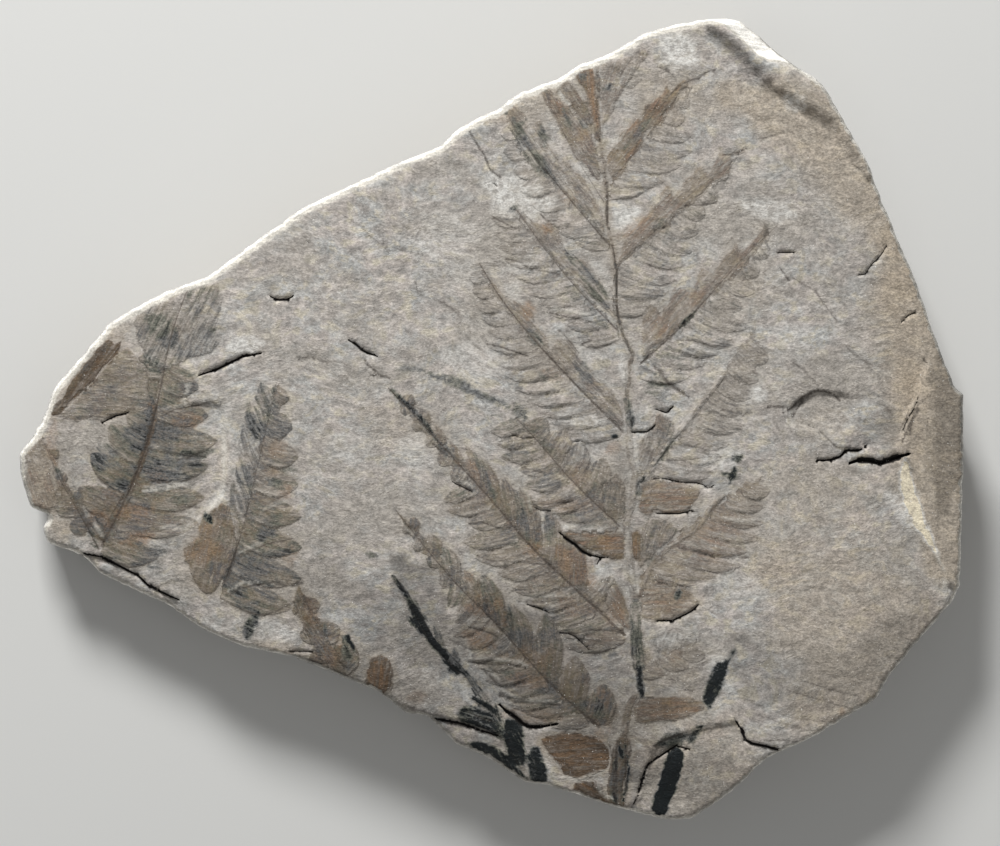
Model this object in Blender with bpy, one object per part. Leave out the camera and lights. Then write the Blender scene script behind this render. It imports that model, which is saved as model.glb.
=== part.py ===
"""Fossil fern plate: a loose slab of shale with pressed fern fronds in its top bedding face.

The slab is one solid and lies flat. Its origin is on the surface that it rests on, under the
middle of its outline. X runs along its length, Y across it, and Z up through its thickness.
Places on the bedding face are given in millimetres from that origin.
"""

from collections import namedtuple
import math

import bmesh
import bpy
from mathutils import Vector, noise
from mathutils.geometry import delaunay_2d_cdt
import numpy as np

MM = 0.001

# Driving dimensions, in millimetres.
BED_HEIGHT = 16.4  # bedding face above the table, near the middle
LEFT_THINNING = 3.0  # how much thinner the slab gets towards its left end
LEFT_START = -15.0
LEFT_LENGTH = 60.0
SHOULDER_DROP = 2.4  # how far the bedding face rounds over on the right
SHOULDER_START = 57.0
SHOULDER_LENGTH = 20.0
SWELL = 0.45  # long waves of the bedding face
SWELL_LENGTH = 26.0
BITE = 0.35  # deepest small bite out of the outline
BITE_LENGTH = 3.0
RIM_WIDTH = 0.5  # broken edge between the bedding face and the wall
LONG_RIM_WIDTH = 0.9  # what the long upper-left edge has on top of that
LONG_RIM_WAY = (-0.6, 0.8)  # the way that edge faces
RIM_DROP = 1.1
STEM_WIDTH = 2.2  # main stem of the large frond
STEM_RELIEF = 0.55
LEAFLET_PITCH = 4.0  # between neighbouring leaflets, along the pinna
LEAFLET_RELIEF = 0.42
AXIS_GROOVE = 0.25  # depth of the groove along the middle of each pinna
GROOVE_HALF = 0.7
TIP_LEAFLET = 0.75  # size of the leaflet at a pinna's tip, as a share of the others
LEAFLET_LEAN = math.radians(46)  # between a leaflet and the pinna that carries it
LEAFLET_HALF = LEAFLET_PITCH * math.sin(LEAFLET_LEAN) / 2  # neighbours meet edge to edge

# Spacing of the mesh, in millimetres.
EDGE_PITCH = 3.3
STEM_PITCH = 2.4
LINE_PITCH = 1.7
FILL_PITCH = 3.2
FILL_STIR = 0.9  # how far filling points stray from a regular net
CLOSEST = 0.6  # no two points of the bedding face are nearer than this
FERN_MARGIN = 0.8  # kept between the fern and the slab's edge
STEP_WIDTH = 0.35  # half the width of a ledge's riser
CROWN_SHARES = (0.06, 0.35, 0.75, 1.0)  # mesh points along a leaflet's crown
VALLEY_SHARES = (0.12, 0.5, 0.86)  # and between two leaflets
FLANK_SHARES = (0.3, 0.8)  # and beside the first and the last leaflet

SLAB_EDGE = (
    (-75.5, -8.5), (-75.5, -5.5), (-72, -0.5), (-70, 5), (-61, 15.5), (-53, 20), (-45, 23),
    (-30.5, 33.5), (-15.5, 40.5), (-8, 43.5), (-5, 46.5), (1, 49.5), (4.5, 52), (10, 54),
    (14, 56.5), (18.5, 58), (24.5, 61.5), (30, 63), (36.5, 64), (40, 64), (41.5, 62.5),
    (45.5, 58), (52.5, 53.5), (57.5, 46.5), (61, 39.5), (68, 22.5), (71.5, 12), (74, 5.5),
    (75.5, 4), (75.5, -9.5), (75, -26.5), (74, -29), (63.5, -41), (61.5, -44.5), (55, -48.5),
    (52.5, -50), (44, -54), (40, -58), (36.5, -61), (32, -64), (27.5, -64), (25.5, -63.5),
    (20, -62), (9, -58.5), (5.5, -58), (0, -54.5), (-5.5, -52), (-10, -47.5), (-13.5, -47),
    (-18, -43.5), (-31.5, -38), (-39.5, -36.5), (-46.5, -33.5), (-51.5, -30), (-62.5, -25),
    (-65.5, -22), (-71, -20), (-72, -17.5), (-71, -15.2), (-73.8, -14.2),
)

# Ledges of the bedding face: an area, how far it stands above the rest, and its middle. The
# rise is full out to FULL_RISE times the reach from there, and has faded out one reach further.
FULL_RISE = 0.6
Ledge = namedtuple("Ledge", "area rise middle reach")
LEDGES = (
    # Remnant of the next layer up, at the upper right corner.
    Ledge(((34, 62.5), (36, 60), (38, 58), (40.5, 55.5), (43, 53.5), (45.5, 51.5), (48, 50),
           (49.5, 50), (54, 47.5), (60, 38.5), (67, 41), (57.5, 57), (46, 66.5), (33.5, 66.5)),
          1.6, (46, 58), 22),
    # Layer flaked off between the two black stems and the lower edge.
    Ledge(((22, -62), (24, -60), (24.5, -57.5), (25, -55.5), (26, -52.5), (27, -51.5),
           (30.5, -50), (33.5, -49), (39, -48), (40, -50), (41, -51.5), (44, -52), (46, -53),
           (49.5, -67), (22, -67)), -1.5, (34, -56), 60),
    # Lower layers that show along the lower left edge.
    Ledge(((-69, -20), (-65.5, -21.5), (-62, -22), (-58.5, -24), (-56, -25.5), (-54.5, -27),
           (-52, -28), (-50, -29), (-46.5, -36), (-69, -31), (-74, -23)), -2.0, (-60, -25), 60),
    Ledge(((-14.5, -45.5), (-10.5, -47), (-5, -48.2), (-2, -49), (1.5, -50), (4.5, -61.5),
           (-10, -56.5), (-16, -50)), -1.6, (-6, -50), 60),
    # Sunken bed of the small frond on the left.
    Ledge(((-62, -19), (-62.5, -13.5), (-61, -4), (-58, 7.5), (-54.5, 12), (-49, 5), (-48, 2.5),
           (-43, 2.5), (-42, -4), (-42.5, -12), (-46.5, -16), (-49, -18), (-53, -17.5),
           (-58, -20)), -0.7, (-43, -6), 11),
    # Terrace under the arched flake on the right.
    Ledge(((46, -0.5), (48, 2), (49.5, 3.5), (52, 4.5), (55.5, 4), (61, 3), (65, -2),
           (64.5, -5), (59.5, -5), (55.5, -5.5), (53.5, -3), (50.5, -1.5)), -0.8, (52, 4), 5),
    # Bevelled lip east of the ridge on the right.
    Ledge(((65.5, -6), (67.5, -8.5), (68.5, -12.5), (69.5, -18), (70.5, -21), (73, -26.5),
           (78, -28), (78, 6), (69.5, 9.5), (68, 3.5), (66, 0.5), (65.5, -3)),
          1.0, (69, -8), 24),
)

# Open cracks: a line, half the width and the depth. Their ends run out over a share of the line.
CRACK_END = 1 / 6
Crack = namedtuple("Crack", "line half depth")
CRACKS = (
    Crack(((52.5, -6.5), (55.5, -6.2), (59.5, -6.4), (64.5, -6), (66.5, -5.5)), 0.75, 1.6),
    Crack(((-46.5, 7), (-43.5, 8), (-40, 9), (-36.5, 10)), 0.65, 0.9),
    Crack(((-35, 19.5), (-33, 19), (-31.5, 19.5)), 0.65, 0.8),
    Crack(((-23.5, 13.5), (-21, 11.5), (-18.5, 10)), 0.65, 0.7),
    Crack(((1.5, -45.5), (4, -47.5), (6, -49), (8, -49), (10, -48.5)), 0.65, 1.0),
    Crack(((58.5, 23), (60, 24.5), (62, 26), (63.5, 27.5)), 0.65, 0.6),
    Crack(((26, -9), (33.5, -10), (35, -10.5), (36, -9.5)), 0.65, 0.5),
    Crack(((12, -18.5), (14, -21), (17.5, -22.5)), 0.65, 0.7),
)

MAIN_STEM = (
    (17, 56.5), (17.5, 44), (18.5, 34.5), (19.5, 26.5), (20, 18.5), (21.5, 13), (22.5, 10),
    (22, 6), (21.5, -0.5), (22.5, -7), (23, -9.5), (21.5, -18), (22.5, -26), (23.5, -29.5),
    (23.5, -44), (21.5, -46), (20.5, -52), (20, -60),
)

# Pinnae: the axis from its foot, and the longest leaflets on its right and on its left.
Pinna = namedtuple("Pinna", "axis right left")
PINNAE = (
    # Right half of the large frond, from the top down.
    Pinna(((17.5, 50.5), (20.5, 54.5), (24, 58.5)), 4.5, 2.5),
    Pinna(((18.5, 38), (25, 44.5), (28, 47.5), (32, 53), (33.5, 54)), 7, 4),
    Pinna(((20, 25.5), (24, 27.5), (28, 31), (34, 36), (38, 39), (40.5, 43)), 8, 5),
    Pinna(((24, 9.5), (27, 11.5), (32, 16.5), (38, 22.5), (41.5, 26.5), (46, 31)), 9.5, 5.5),
    Pinna(((24, -9.5), (26, -6), (32, 0.5), (36.5, 6), (40, 9.5), (42.5, 15.5)), 9.5, 4.5),
    Pinna(((24, -24), (26, -21), (30, -18), (33.5, -15), (36, -12), (39, -8.5), (44.5, -8)),
          9.5, 4.5),
    Pinna(((22, -46), (26, -45.5), (33.5, -44.5)), 0, 6),
    # Left half of the large frond, from the top down.
    Pinna(((17, 45), (15.5, 50), (13.5, 54.5)), 2, 2.5),
    Pinna(((17.5, 35.5), (13.5, 41), (10, 49), (8.5, 52)), 3, 4),
    Pinna(((18, 29), (14, 33), (10, 38), (6, 42.5), (4, 46.5), (2, 50)), 3.5, 5.5),
    Pinna(((21.5, 12), (19, 15.5), (16, 18.5), (12.5, 22), (9.5, 26), (6, 30.5), (3.5, 34)),
          5.5, 8),
    Pinna(((20.5, -1.5), (18, 1), (15, 5), (11, 9), (6, 13), (3, 18), (-2, 24.5)), 5.5, 8),
    Pinna(((20, -16.5), (15, -12), (9.5, -5.5), (7, -3.5), (5.5, 0), (3, 2), (0, 4), (-5, 6),
           (-10, 8), (-14.5, 8.5), (-17, 7), (-20, 9.5)), 5, 7.5),
    Pinna(((21, -33.5), (19, -31.5), (16, -28), (9.5, -22), (3, -15), (-2, -9.5), (-6.5, -4),
           (-9, -1.5), (-14, 4), (-17.5, 5.5)), 5.5, 8),
    Pinna(((15, -46), (9.5, -42), (7, -38), (4, -36), (-2, -29.5), (-6.5, -24), (-9, -21.5),
           (-14, -15), (-16.5, -14)), 5.5, 8),
    Pinna(((6, -56), (3, -52), (0, -45.5), (-2.5, -42), (-7.5, -36), (-10.5, -31),
           (-15.5, -24.5), (-20, -21)), 6.5, 7),
    # Separate fronds on the left.
    Pinna(((-62, -19), (-58.5, -13.5), (-55.5, -6), (-53.5, 2.5), (-52, 11.5), (-50, 17),
           (-48, 20)), 8.5, 3.5),
    Pinna(((-71, -2.5), (-69, -9.5), (-66.5, -13.5), (-63, -20)), 2.5, 3),
    Pinna(((-69.5, 1), (-67.5, 3.5), (-64, 6.5), (-62, 11.5)), 4.5, 2.5),
    Pinna(((-42.5, -26), (-39.5, -17.5), (-37, -5.5), (-36, -1.5), (-34.5, 6.5)), 7, 8),
    Pinna(((-30.5, -26), (-29, -29.5), (-26, -37)), 3, 4),
)

Leaflet = namedtuple("Leaflet", "foot tip half")

# Rings of the wall below the broken edge: share of the height, and how far they are set in.
WALL_RINGS = ((0.74, 0.25), (0.52, 0.1), (0.3, 0.7), (0.1, 0.9), (0.0, 2.4))
WALL_ROUGHNESS = 0.55
WALL_LUMP = 5.0  # length of the lumps along the wall


def soft_step(values):
    """Go smoothly from 0 to 1 as the values go from 0 to 1."""
    t = np.clip(values, 0.0, 1.0)
    return t * t * (3.0 - 2.0 * t)


def along(line, pitch):
    """Return points about one pitch apart along a line, and the unit direction at each."""
    corners = np.array(line, dtype=float)
    runs = np.linalg.norm(np.diff(corners, axis=0), axis=1)
    reached = np.concatenate(([0.0], np.cumsum(runs)))
    count = max(2, int(round(reached[-1] / pitch)) + 1)
    stops = np.linspace(0.0, reached[-1], count)
    places = np.stack([np.interp(stops, reached, corners[:, i]) for i in (0, 1)], axis=1)
    ways = np.gradient(places, axis=0)
    return places, ways / np.linalg.norm(ways, axis=1, keepdims=True)


def left_of(ways):
    """Turn directions a quarter turn to the left."""
    return np.stack((-ways[:, 1], ways[:, 0]), axis=1)


def distance_to_line(points, line):
    """Return each point's distance to a line, and how far along the line its nearest spot is."""
    corners = np.array(line, dtype=float)
    nearest = np.full(len(points), np.inf)
    share = np.zeros(len(points))
    for i, (start, end) in enumerate(zip(corners[:-1], corners[1:])):
        run = end - start
        t = np.clip((points - start) @ run / (run @ run), 0.0, 1.0)
        gap = np.linalg.norm(points - start - t[:, None] * run, axis=1)
        closer = gap < nearest
        nearest[closer] = gap[closer]
        share[closer] = (i + t[closer]) / (len(corners) - 1)
    return nearest, share


def inside(points, area):
    """Tell which points lie inside a closed outline."""
    corners = np.array(area, dtype=float)
    found = np.zeros(len(points), dtype=bool)
    for (x0, y0), (x1, y1) in zip(corners, np.roll(corners, -1, axis=0)):
        if y0 == y1:
            continue
        spans = (points[:, 1] > y0) != (points[:, 1] > y1)
        crossing = x0 + (points[:, 1] - y0) * (x1 - x0) / (y1 - y0)
        found ^= spans & (points[:, 0] < crossing)
    return found


def depth_inside(points, area):
    """Return how deep each point lies inside an outline; outside it the depth is negative."""
    gap, _ = distance_to_line(points, list(area) + [area[0]])
    return np.where(inside(points, area), gap, -gap)


def ripple(points, length, seed):
    """Smooth noise between about -1 and 1, with waves of the given length."""
    return np.array([noise.noise(Vector((x / length, y / length, seed))) for x, y in points])


def leaflet_aims(pinna):
    """List each side of a pinna as rows of a foot, an aim, and a length for every leaflet."""
    places, ways = along(pinna.axis, LEAFLET_PITCH)
    sides = []
    for longest, turn in ((pinna.right, -LEAFLET_LEAN), (pinna.left, LEAFLET_LEAN)):
        side = []
        for i, (place, way) in enumerate(zip(places, ways)):
            size = float(np.interp(i / (len(places) - 1), (0.0, 0.4, 1.0), (0.8, 1.0, 0.4)))
            aim = np.array((way[0] * math.cos(turn) - way[1] * math.sin(turn),
                            way[0] * math.sin(turn) + way[1] * math.cos(turn)))
            side.append((place, aim, longest * size))
        sides.append(side)
    return sides


def leaflets_of(pinna):
    """List the leaflets down both sides of a pinna, and the one at its tip."""
    leaflets = [Leaflet(place, place + length * aim, LEAFLET_HALF)
                for side in leaflet_aims(pinna) for place, aim, length in side if length > 0]
    place, way = (ends[-1] for ends in along(pinna.axis, LEAFLET_PITCH))
    leaflets.append(Leaflet(place, place + TIP_LEAFLET * LEAFLET_PITCH * way,
                            TIP_LEAFLET * LEAFLET_HALF))
    return leaflets


def leaflet_half(share, half):
    """Half the width of a tongue-shaped leaflet at a share of its length."""
    return half * np.sqrt(np.clip(1.0 - np.abs(2.0 * share - 1.0) ** 3, 0.0, 1.0))


def leaflet_lines(pinna):
    """Lines along the crown of each leaflet, between neighbours, and down the open flanks."""
    lines = []
    for side in leaflet_aims(pinna):
        if side[0][2] == 0:
            continue
        for place, aim, length in side:
            lines.append([place + share * length * aim for share in CROWN_SHARES])
        for (place, aim, length), (after, next_aim, next_length) in zip(side, side[1:]):
            lines.append([(place + share * length * aim + after + share * next_length * next_aim) / 2
                          for share in VALLEY_SHARES])
        for end, other in ((0, 1), (-1, -2)):
            place, aim, length = side[end]
            outward = left_of(aim[None, :])[0]
            outward *= math.copysign(LEAFLET_HALF, (place - side[other][0]) @ outward)
            lines.append([place + share * length * aim + outward for share in FLANK_SHARES])
    return lines


def fern_relief(points, leaflets):
    """Height of the pressed fern above the bedding face."""
    height = np.zeros(len(points))
    for pinna in PINNAE:
        gap, _ = distance_to_line(points, pinna.axis)
        height = np.minimum(height, -AXIS_GROOVE * np.clip(1.0 - gap / GROOVE_HALF, 0.0, 1.0))
    for leaflet in leaflets:
        run = leaflet.tip - leaflet.foot
        length = np.linalg.norm(run)
        offset = points - leaflet.foot
        share = offset @ run / length ** 2
        across = np.abs(offset[:, 0] * run[1] - offset[:, 1] * run[0]) / length
        half = leaflet_half(np.clip(share, 0.0, 1.0), leaflet.half)
        crown = LEAFLET_RELIEF * (1.0 - (across / np.maximum(half, 0.01)) ** 2)
        on = (share > 0.0) & (share < 1.0) & (across < half)
        height[on] = np.maximum(height[on], crown[on])
    gap, _ = distance_to_line(points, MAIN_STEM)
    stem = STEM_RELIEF * (1.0 - (2.0 * gap / STEM_WIDTH) ** 2)
    return np.where(2.0 * gap < STEM_WIDTH, np.maximum(stem, height), height)


def bed_height(points):
    """Height of the bare bedding face, with its ledges and cracks."""
    height = np.full(len(points), BED_HEIGHT)
    height -= LEFT_THINNING * soft_step((LEFT_START - points[:, 0]) / LEFT_LENGTH)
    height -= SHOULDER_DROP * soft_step((points[:, 0] - SHOULDER_START) / SHOULDER_LENGTH)
    height += SWELL * ripple(points, SWELL_LENGTH, 3.7)
    for ledge in LEDGES:
        step = soft_step(depth_inside(points, ledge.area) / (2.0 * STEP_WIDTH) + 0.5)
        away = np.linalg.norm(points - np.array(ledge.middle), axis=1) / ledge.reach
        height += ledge.rise * step * np.clip(1.0 + FULL_RISE - away, 0.0, 1.0)
    for crack in CRACKS:
        gap, share = distance_to_line(points, crack.line)
        taper = np.clip(np.minimum(share, 1.0 - share) / CRACK_END, 0.0, 1.0)
        height -= crack.depth * taper * np.clip(1.0 - gap / crack.half, 0.0, 1.0)
    return height


def edge_ring():
    """The slab's outline, with long straight stretches broken up by small inward bites."""
    ring = []
    for start, end in zip(SLAB_EDGE, SLAB_EDGE[1:] + SLAB_EDGE[:1]):
        run = Vector(end) - Vector(start)
        count = max(1, round(run.length / EDGE_PITCH))
        inward = Vector((run.y, -run.x)).normalized()
        ring.append(Vector(start))
        for i in range(1, count):
            place = Vector(start) + run * (i / count)
            bite = BITE * abs(noise.noise(Vector((place.x, place.y, 25.0)) / BITE_LENGTH))
            ring.append(place + inward * bite)
    return ring


def inward_ways(ring):
    """Unit directions into the slab at each point of its outline, which runs clockwise."""
    ways = []
    for i, place in enumerate(ring):
        run = ring[(i + 1) % len(ring)] - ring[i - 1]
        ways.append(Vector((run.y, -run.x)).normalized())
    return ways


def rim_ring(ring, ways):
    """The edge of the bedding face, set in by the width of the broken rim."""
    facing = Vector(LONG_RIM_WAY)
    return [place + way * (RIM_WIDTH + LONG_RIM_WIDTH * max(0.0, -way.dot(facing)))
            for place, way in zip(ring, ways)]


def shifted_lines(line, pitch, shifts):
    """Copies of a line beside each other, at the given shifts to its left."""
    places, ways = along(line, pitch)
    return [places + shift * left_of(ways) for shift in shifts]


def feature_lines():
    """Lines that the mesh of the bedding face follows, the most important first."""
    lines = []
    for ledge in LEDGES:
        lines += shifted_lines(ledge.area + ledge.area[:1], LINE_PITCH, (STEP_WIDTH, -STEP_WIDTH))
    for crack in CRACKS:
        lines += shifted_lines(crack.line, LINE_PITCH, (0.0, crack.half, -crack.half))
    lines += shifted_lines(MAIN_STEM, STEM_PITCH, (0.0, STEM_WIDTH / 2, -STEM_WIDTH / 2))
    for pinna in PINNAE:
        lines += shifted_lines(pinna.axis, STEM_PITCH, (0.0,))
    for pinna in PINNAE:
        lines += leaflet_lines(pinna)
    return lines


def fill_points():
    """A loose triangular net of points for the bare stone between the features."""
    points = []
    row_height = FILL_PITCH * math.sqrt(0.75)
    length, width = (max(c) - min(c) for c in zip(*SLAB_EDGE))
    for row in range(int(width / row_height) + 1):
        for column in range(int(length / FILL_PITCH) + 1):
            x = FILL_PITCH * (column + 0.5 * (row % 2)) - length / 2
            y = row_height * row - width / 2
            stir = FILL_STIR * noise.noise_vector(Vector((x, y, 16.0)) / FILL_PITCH)
            points.append((x + stir.x, y + stir.y))
    return np.array(points)


class Net:
    """Points of a flat mesh, filed by square so that near ones are found quickly."""

    def __init__(self):
        self.points = []
        self.squares = {}

    def near(self, point, reach):
        """Index of a point within reach, or None."""
        column, row = (math.floor(c / CLOSEST) for c in point)
        span = math.ceil(reach / CLOSEST)
        for i in range(column - span, column + span + 1):
            for j in range(row - span, row + span + 1):
                for index in self.squares.get((i, j), ()):
                    if math.dist(point, self.points[index]) < reach:
                        return index
        return None

    def add(self, point, reach):
        """Index of a new point, or of the one that already stands within reach of it."""
        found = self.near(point, reach)
        if found is not None:
            return found
        square = tuple(math.floor(c / CLOSEST) for c in point)
        self.squares.setdefault(square, []).append(len(self.points))
        self.points.append(tuple(point))
        return len(self.points) - 1


def bedding_sheet(rim):
    """Triangulate the bedding face: its outline first, then the features, then the filling."""
    outline = np.array([tuple(place) for place in rim])
    net = Net()
    edges = []
    for place in outline:
        net.add(place, 0.0)
    count = len(outline)
    edges += [(i, (i + 1) % count) for i in range(count)]
    for line in feature_lines():
        clear = depth_inside(np.array(line), outline) > FERN_MARGIN
        last = None
        for point, fits in zip(line, clear):
            index = net.add(point, CLOSEST) if fits else None
            if None not in (last, index) and index != last:
                edges.append((last, index))
            last = index
    filling = fill_points()
    for point in filling[depth_inside(filling, outline) > FILL_PITCH * 0.45]:
        net.add(point, FILL_PITCH * 0.6)
    flat = [Vector((float(x), float(y))) for x, y in net.points]
    verts, _, faces = delaunay_2d_cdt(flat, edges, [list(range(count))], 1, 1e-4)[:3]
    return verts, faces


def wall_ring(bm, upper, places, ways, heights, share, inset):
    """Add one ring of the wall under the last one, set in from the outline, and join them."""
    lower = []
    for place, way, height in zip(places, ways, heights):
        lump = abs(noise.noise(Vector((place.x, place.y, height * share)) / WALL_LUMP))
        keep = inset + WALL_ROUGHNESS * lump * (0.0 < share < 1.0)
        spot = place + way * keep
        lower.append(bm.verts.new((spot.x, spot.y, height * share)))
    for i in range(len(upper)):
        bm.faces.new((upper[i - 1], upper[i], lower[i], lower[i - 1]))
    return lower


def stone_material():
    """Warm grey shale, dull all over."""
    material = bpy.data.materials.new("shale")
    material.use_nodes = True
    shader = material.node_tree.nodes["Principled BSDF"]
    shader.inputs["Base Color"].default_value = (0.36, 0.32, 0.27, 1.0)
    shader.inputs["Roughness"].default_value = 0.85
    shader.inputs["Metallic"].default_value = 0.0
    return material


def shale_slab(collection):
    """The whole plate: bedding face with its fern, broken rim, layered wall and flat base."""
    ring = edge_ring()
    ways = inward_ways(ring)
    rim = rim_ring(ring, ways)
    leaflets = [leaflet for pinna in PINNAE for leaflet in leaflets_of(pinna)]
    flat, triangles = bedding_sheet(rim)
    spots = np.array([tuple(spot) for spot in flat])
    heights = bed_height(spots) + fern_relief(spots, leaflets)
    edge_heights = bed_height(np.array([tuple(place) for place in ring])) - RIM_DROP

    bm = bmesh.new()
    verts = [bm.verts.new((spot.x, spot.y, height)) for spot, height in zip(flat, heights)]
    bm.verts.index_update()
    for corners in triangles:
        bm.faces.new([verts[i] for i in corners])
    loop = wall_ring(bm, verts[:len(ring)], ring, ways, edge_heights, 1.0, 0.0)
    for share, inset in WALL_RINGS:
        loop = wall_ring(bm, loop, ring, ways, edge_heights, share, inset)
    bm.faces.new(loop)
    bmesh.ops.triangulate(bm, faces=bm.faces, ngon_method="BEAUTY")
    bmesh.ops.recalc_face_normals(bm, faces=bm.faces)
    bmesh.ops.scale(bm, vec=(MM, MM, MM), verts=bm.verts)

    mesh = bpy.data.meshes.new("shale_slab")
    bm.to_mesh(mesh)
    bm.free()
    mesh.materials.append(stone_material())
    slab = bpy.data.objects.new("shale_slab", mesh)
    collection.objects.link(slab)
    print(len(leaflets), "leaflets,", len(mesh.polygons), "triangles")


def main():
    for thing in list(bpy.data.objects):
        bpy.data.objects.remove(thing)
    collection = bpy.data.collections.new("fossil_fern_plate")
    bpy.context.scene.collection.children.link(collection)
    shale_slab(collection)


main()
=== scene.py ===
# %% [markdown]
# # Fossil fern plate
# A hand-sized slab of shale with the pressed fronds of a seed fern on its top face. The real thing
# is one stone: the plants are films of carbon and brown stain, and a faint relief, in the face that
# opened when the rock was split. So this scene makes one closed fine mesh. Colour and relief both
# follow one layout of fronds, written below in millimetres from the middle of the slab.

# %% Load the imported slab
from collections import namedtuple
import math

import bpy
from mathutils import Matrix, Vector, kdtree, noise
from mathutils.geometry import delaunay_2d_cdt
import numpy as np


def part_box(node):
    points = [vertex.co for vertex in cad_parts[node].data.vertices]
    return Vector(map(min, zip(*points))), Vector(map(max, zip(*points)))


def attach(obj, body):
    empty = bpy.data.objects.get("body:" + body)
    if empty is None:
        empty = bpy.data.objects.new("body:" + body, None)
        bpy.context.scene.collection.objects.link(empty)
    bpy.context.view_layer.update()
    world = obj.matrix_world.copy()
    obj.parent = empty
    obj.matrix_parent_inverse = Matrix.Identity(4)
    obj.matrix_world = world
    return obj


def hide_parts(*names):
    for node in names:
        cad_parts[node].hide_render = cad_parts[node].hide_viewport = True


MM = 0.001
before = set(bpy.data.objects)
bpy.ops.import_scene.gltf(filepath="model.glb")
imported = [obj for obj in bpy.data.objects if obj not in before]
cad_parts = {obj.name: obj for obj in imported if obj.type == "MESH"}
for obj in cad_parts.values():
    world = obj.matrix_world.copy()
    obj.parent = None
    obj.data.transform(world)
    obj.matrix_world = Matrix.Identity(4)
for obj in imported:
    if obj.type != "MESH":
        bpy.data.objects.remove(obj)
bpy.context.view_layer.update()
low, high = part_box("shale_slab")
print("slab", [round((b - a) / MM, 1) for a, b in zip(low, high)], "mm")

# %% [markdown]
# ## The slab's outline
# Split shale breaks in long straight runs with blunt corners. The outline is a short list of
# corners, and small bites are worked out by noise, because nobody could place every chip by hand.

# %% Outline and thickness
BED_HEIGHT = 16.4
LEFT_THINNING, LEFT_START, LEFT_LENGTH = 3.0, -15.0, 60.0
SHOULDER_DROP, SHOULDER_START, SHOULDER_LENGTH = 2.4, 57.0, 20.0
SWELL, SWELL_LENGTH = 0.45, 26.0
SLAB_EDGE = (
    (-75.5, -8.5), (-75.5, -5.5), (-72, -0.5), (-70, 5), (-61, 15.5), (-53, 20), (-45, 23),
    (-30.5, 33.5), (-15.5, 40.5), (-8, 43.5), (-5, 46.5), (1, 49.5), (4.5, 52), (10, 54),
    (14, 56.5), (18.5, 58), (24.5, 61.5), (30, 63), (36.5, 64), (40, 64), (41.5, 62.8),
    (43.2, 61.8), (45, 59.8), (46.8, 57.7), (49, 55.8), (52.5, 53.5), (56.6, 46.6), (60.4, 40.2),
    (61, 38), (62.3, 35.2), (65.2, 28.1), (68, 21.8), (71.5, 12), (74, 5.5),
    (75.5, 4), (75.5, -9.5), (75, -26.5), (74, -29), (63.5, -41), (61.5, -44.5), (55, -48.5),
    (52.5, -50), (44, -54), (40, -58), (36.5, -61), (32, -64), (27.5, -64), (25.5, -63.5),
    (20, -62), (9, -58.5), (5.5, -58), (0, -54.5), (-5.5, -52), (-10, -47.5), (-13.5, -47),
    (-18, -43.5), (-31.5, -38), (-39.5, -36.5), (-46.5, -33.5), (-51.5, -30), (-62.5, -25),
    (-65.5, -22), (-71, -20), (-72, -17.5), (-71, -15.2), (-73.8, -14.2),
)
EDGE_PITCH = 0.8
BITES = ((0.35, 3.0, 25.0), (0.16, 1.1, 26.0))  # depth, length and seed of each size


def soft_step(values):
    """Go smoothly from 0 to 1 as the values go from 0 to 1."""
    t = np.clip(values, 0.0, 1.0)
    return t * t * (3.0 - 2.0 * t)


def ripple(points, length, seed, stretch=1.0):
    """Smooth noise between about -1 and 1, with waves of one length, stretched along X."""
    scaled = np.column_stack((points[:, 0] / (length * stretch), points[:, 1] / length))
    return np.array([noise.noise(Vector((x, y, seed))) for x, y in scaled.tolist()])


def along(line, pitch):
    """Return points about one pitch apart along a line, and the unit direction at each."""
    corners = np.array(line, dtype=float)
    runs = np.linalg.norm(np.diff(corners, axis=0), axis=1)
    reached = np.concatenate(([0.0], np.cumsum(runs)))
    count = max(2, int(round(reached[-1] / pitch)) + 1)
    stops = np.linspace(0.0, reached[-1], count)
    places = np.stack([np.interp(stops, reached, corners[:, i]) for i in (0, 1)], axis=1)
    ways = np.gradient(places, axis=0)
    return places, ways / np.linalg.norm(ways, axis=1, keepdims=True)


def rounded(line):
    """Cut a line's corners twice, which leaves a smooth bend in their place."""
    corners = np.array(line, dtype=float)
    for _ in range(2):
        starts, ends = corners[:-1], corners[1:]
        cut = np.stack((0.75 * starts + 0.25 * ends, 0.25 * starts + 0.75 * ends), axis=1)
        corners = np.vstack((corners[:1], cut.reshape(-1, 2), corners[-1:]))
    return corners


def left_of(ways):
    """Turn directions a quarter turn to the left."""
    return np.stack((-ways[:, 1], ways[:, 0]), axis=1)


ring, ring_ways = along(SLAB_EDGE + SLAB_EDGE[:1], EDGE_PITCH)
ring, ring_ways = ring[:-1], ring_ways[:-1]
inward = -left_of(ring_ways)
bites = sum(depth * np.abs(ripple(ring, length, seed)) for depth, length, seed in BITES)
ring = ring + inward * bites[:, None]
print(len(ring), "points round the edge")

# %% [markdown]
# ## Ledges, cracks and creases
# Shale lets go along many thin layers, so its face has low steps where one layer ends. A step is an
# area and a rise. A crack is a line with a width and a depth. Both are worked out as distances, so
# that the same lines can later darken the stone as well as cut it.

# %% Steps between the layers
FULL_RISE = 0.6  # a ledge has its whole rise up to this share of its reach, then dies away
Ledge = namedtuple("Ledge", "area rise width middle reach")


def table(kind, *rows):
    """Name the values in each row of a table."""
    return tuple(kind(*row) for row in rows)


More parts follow.
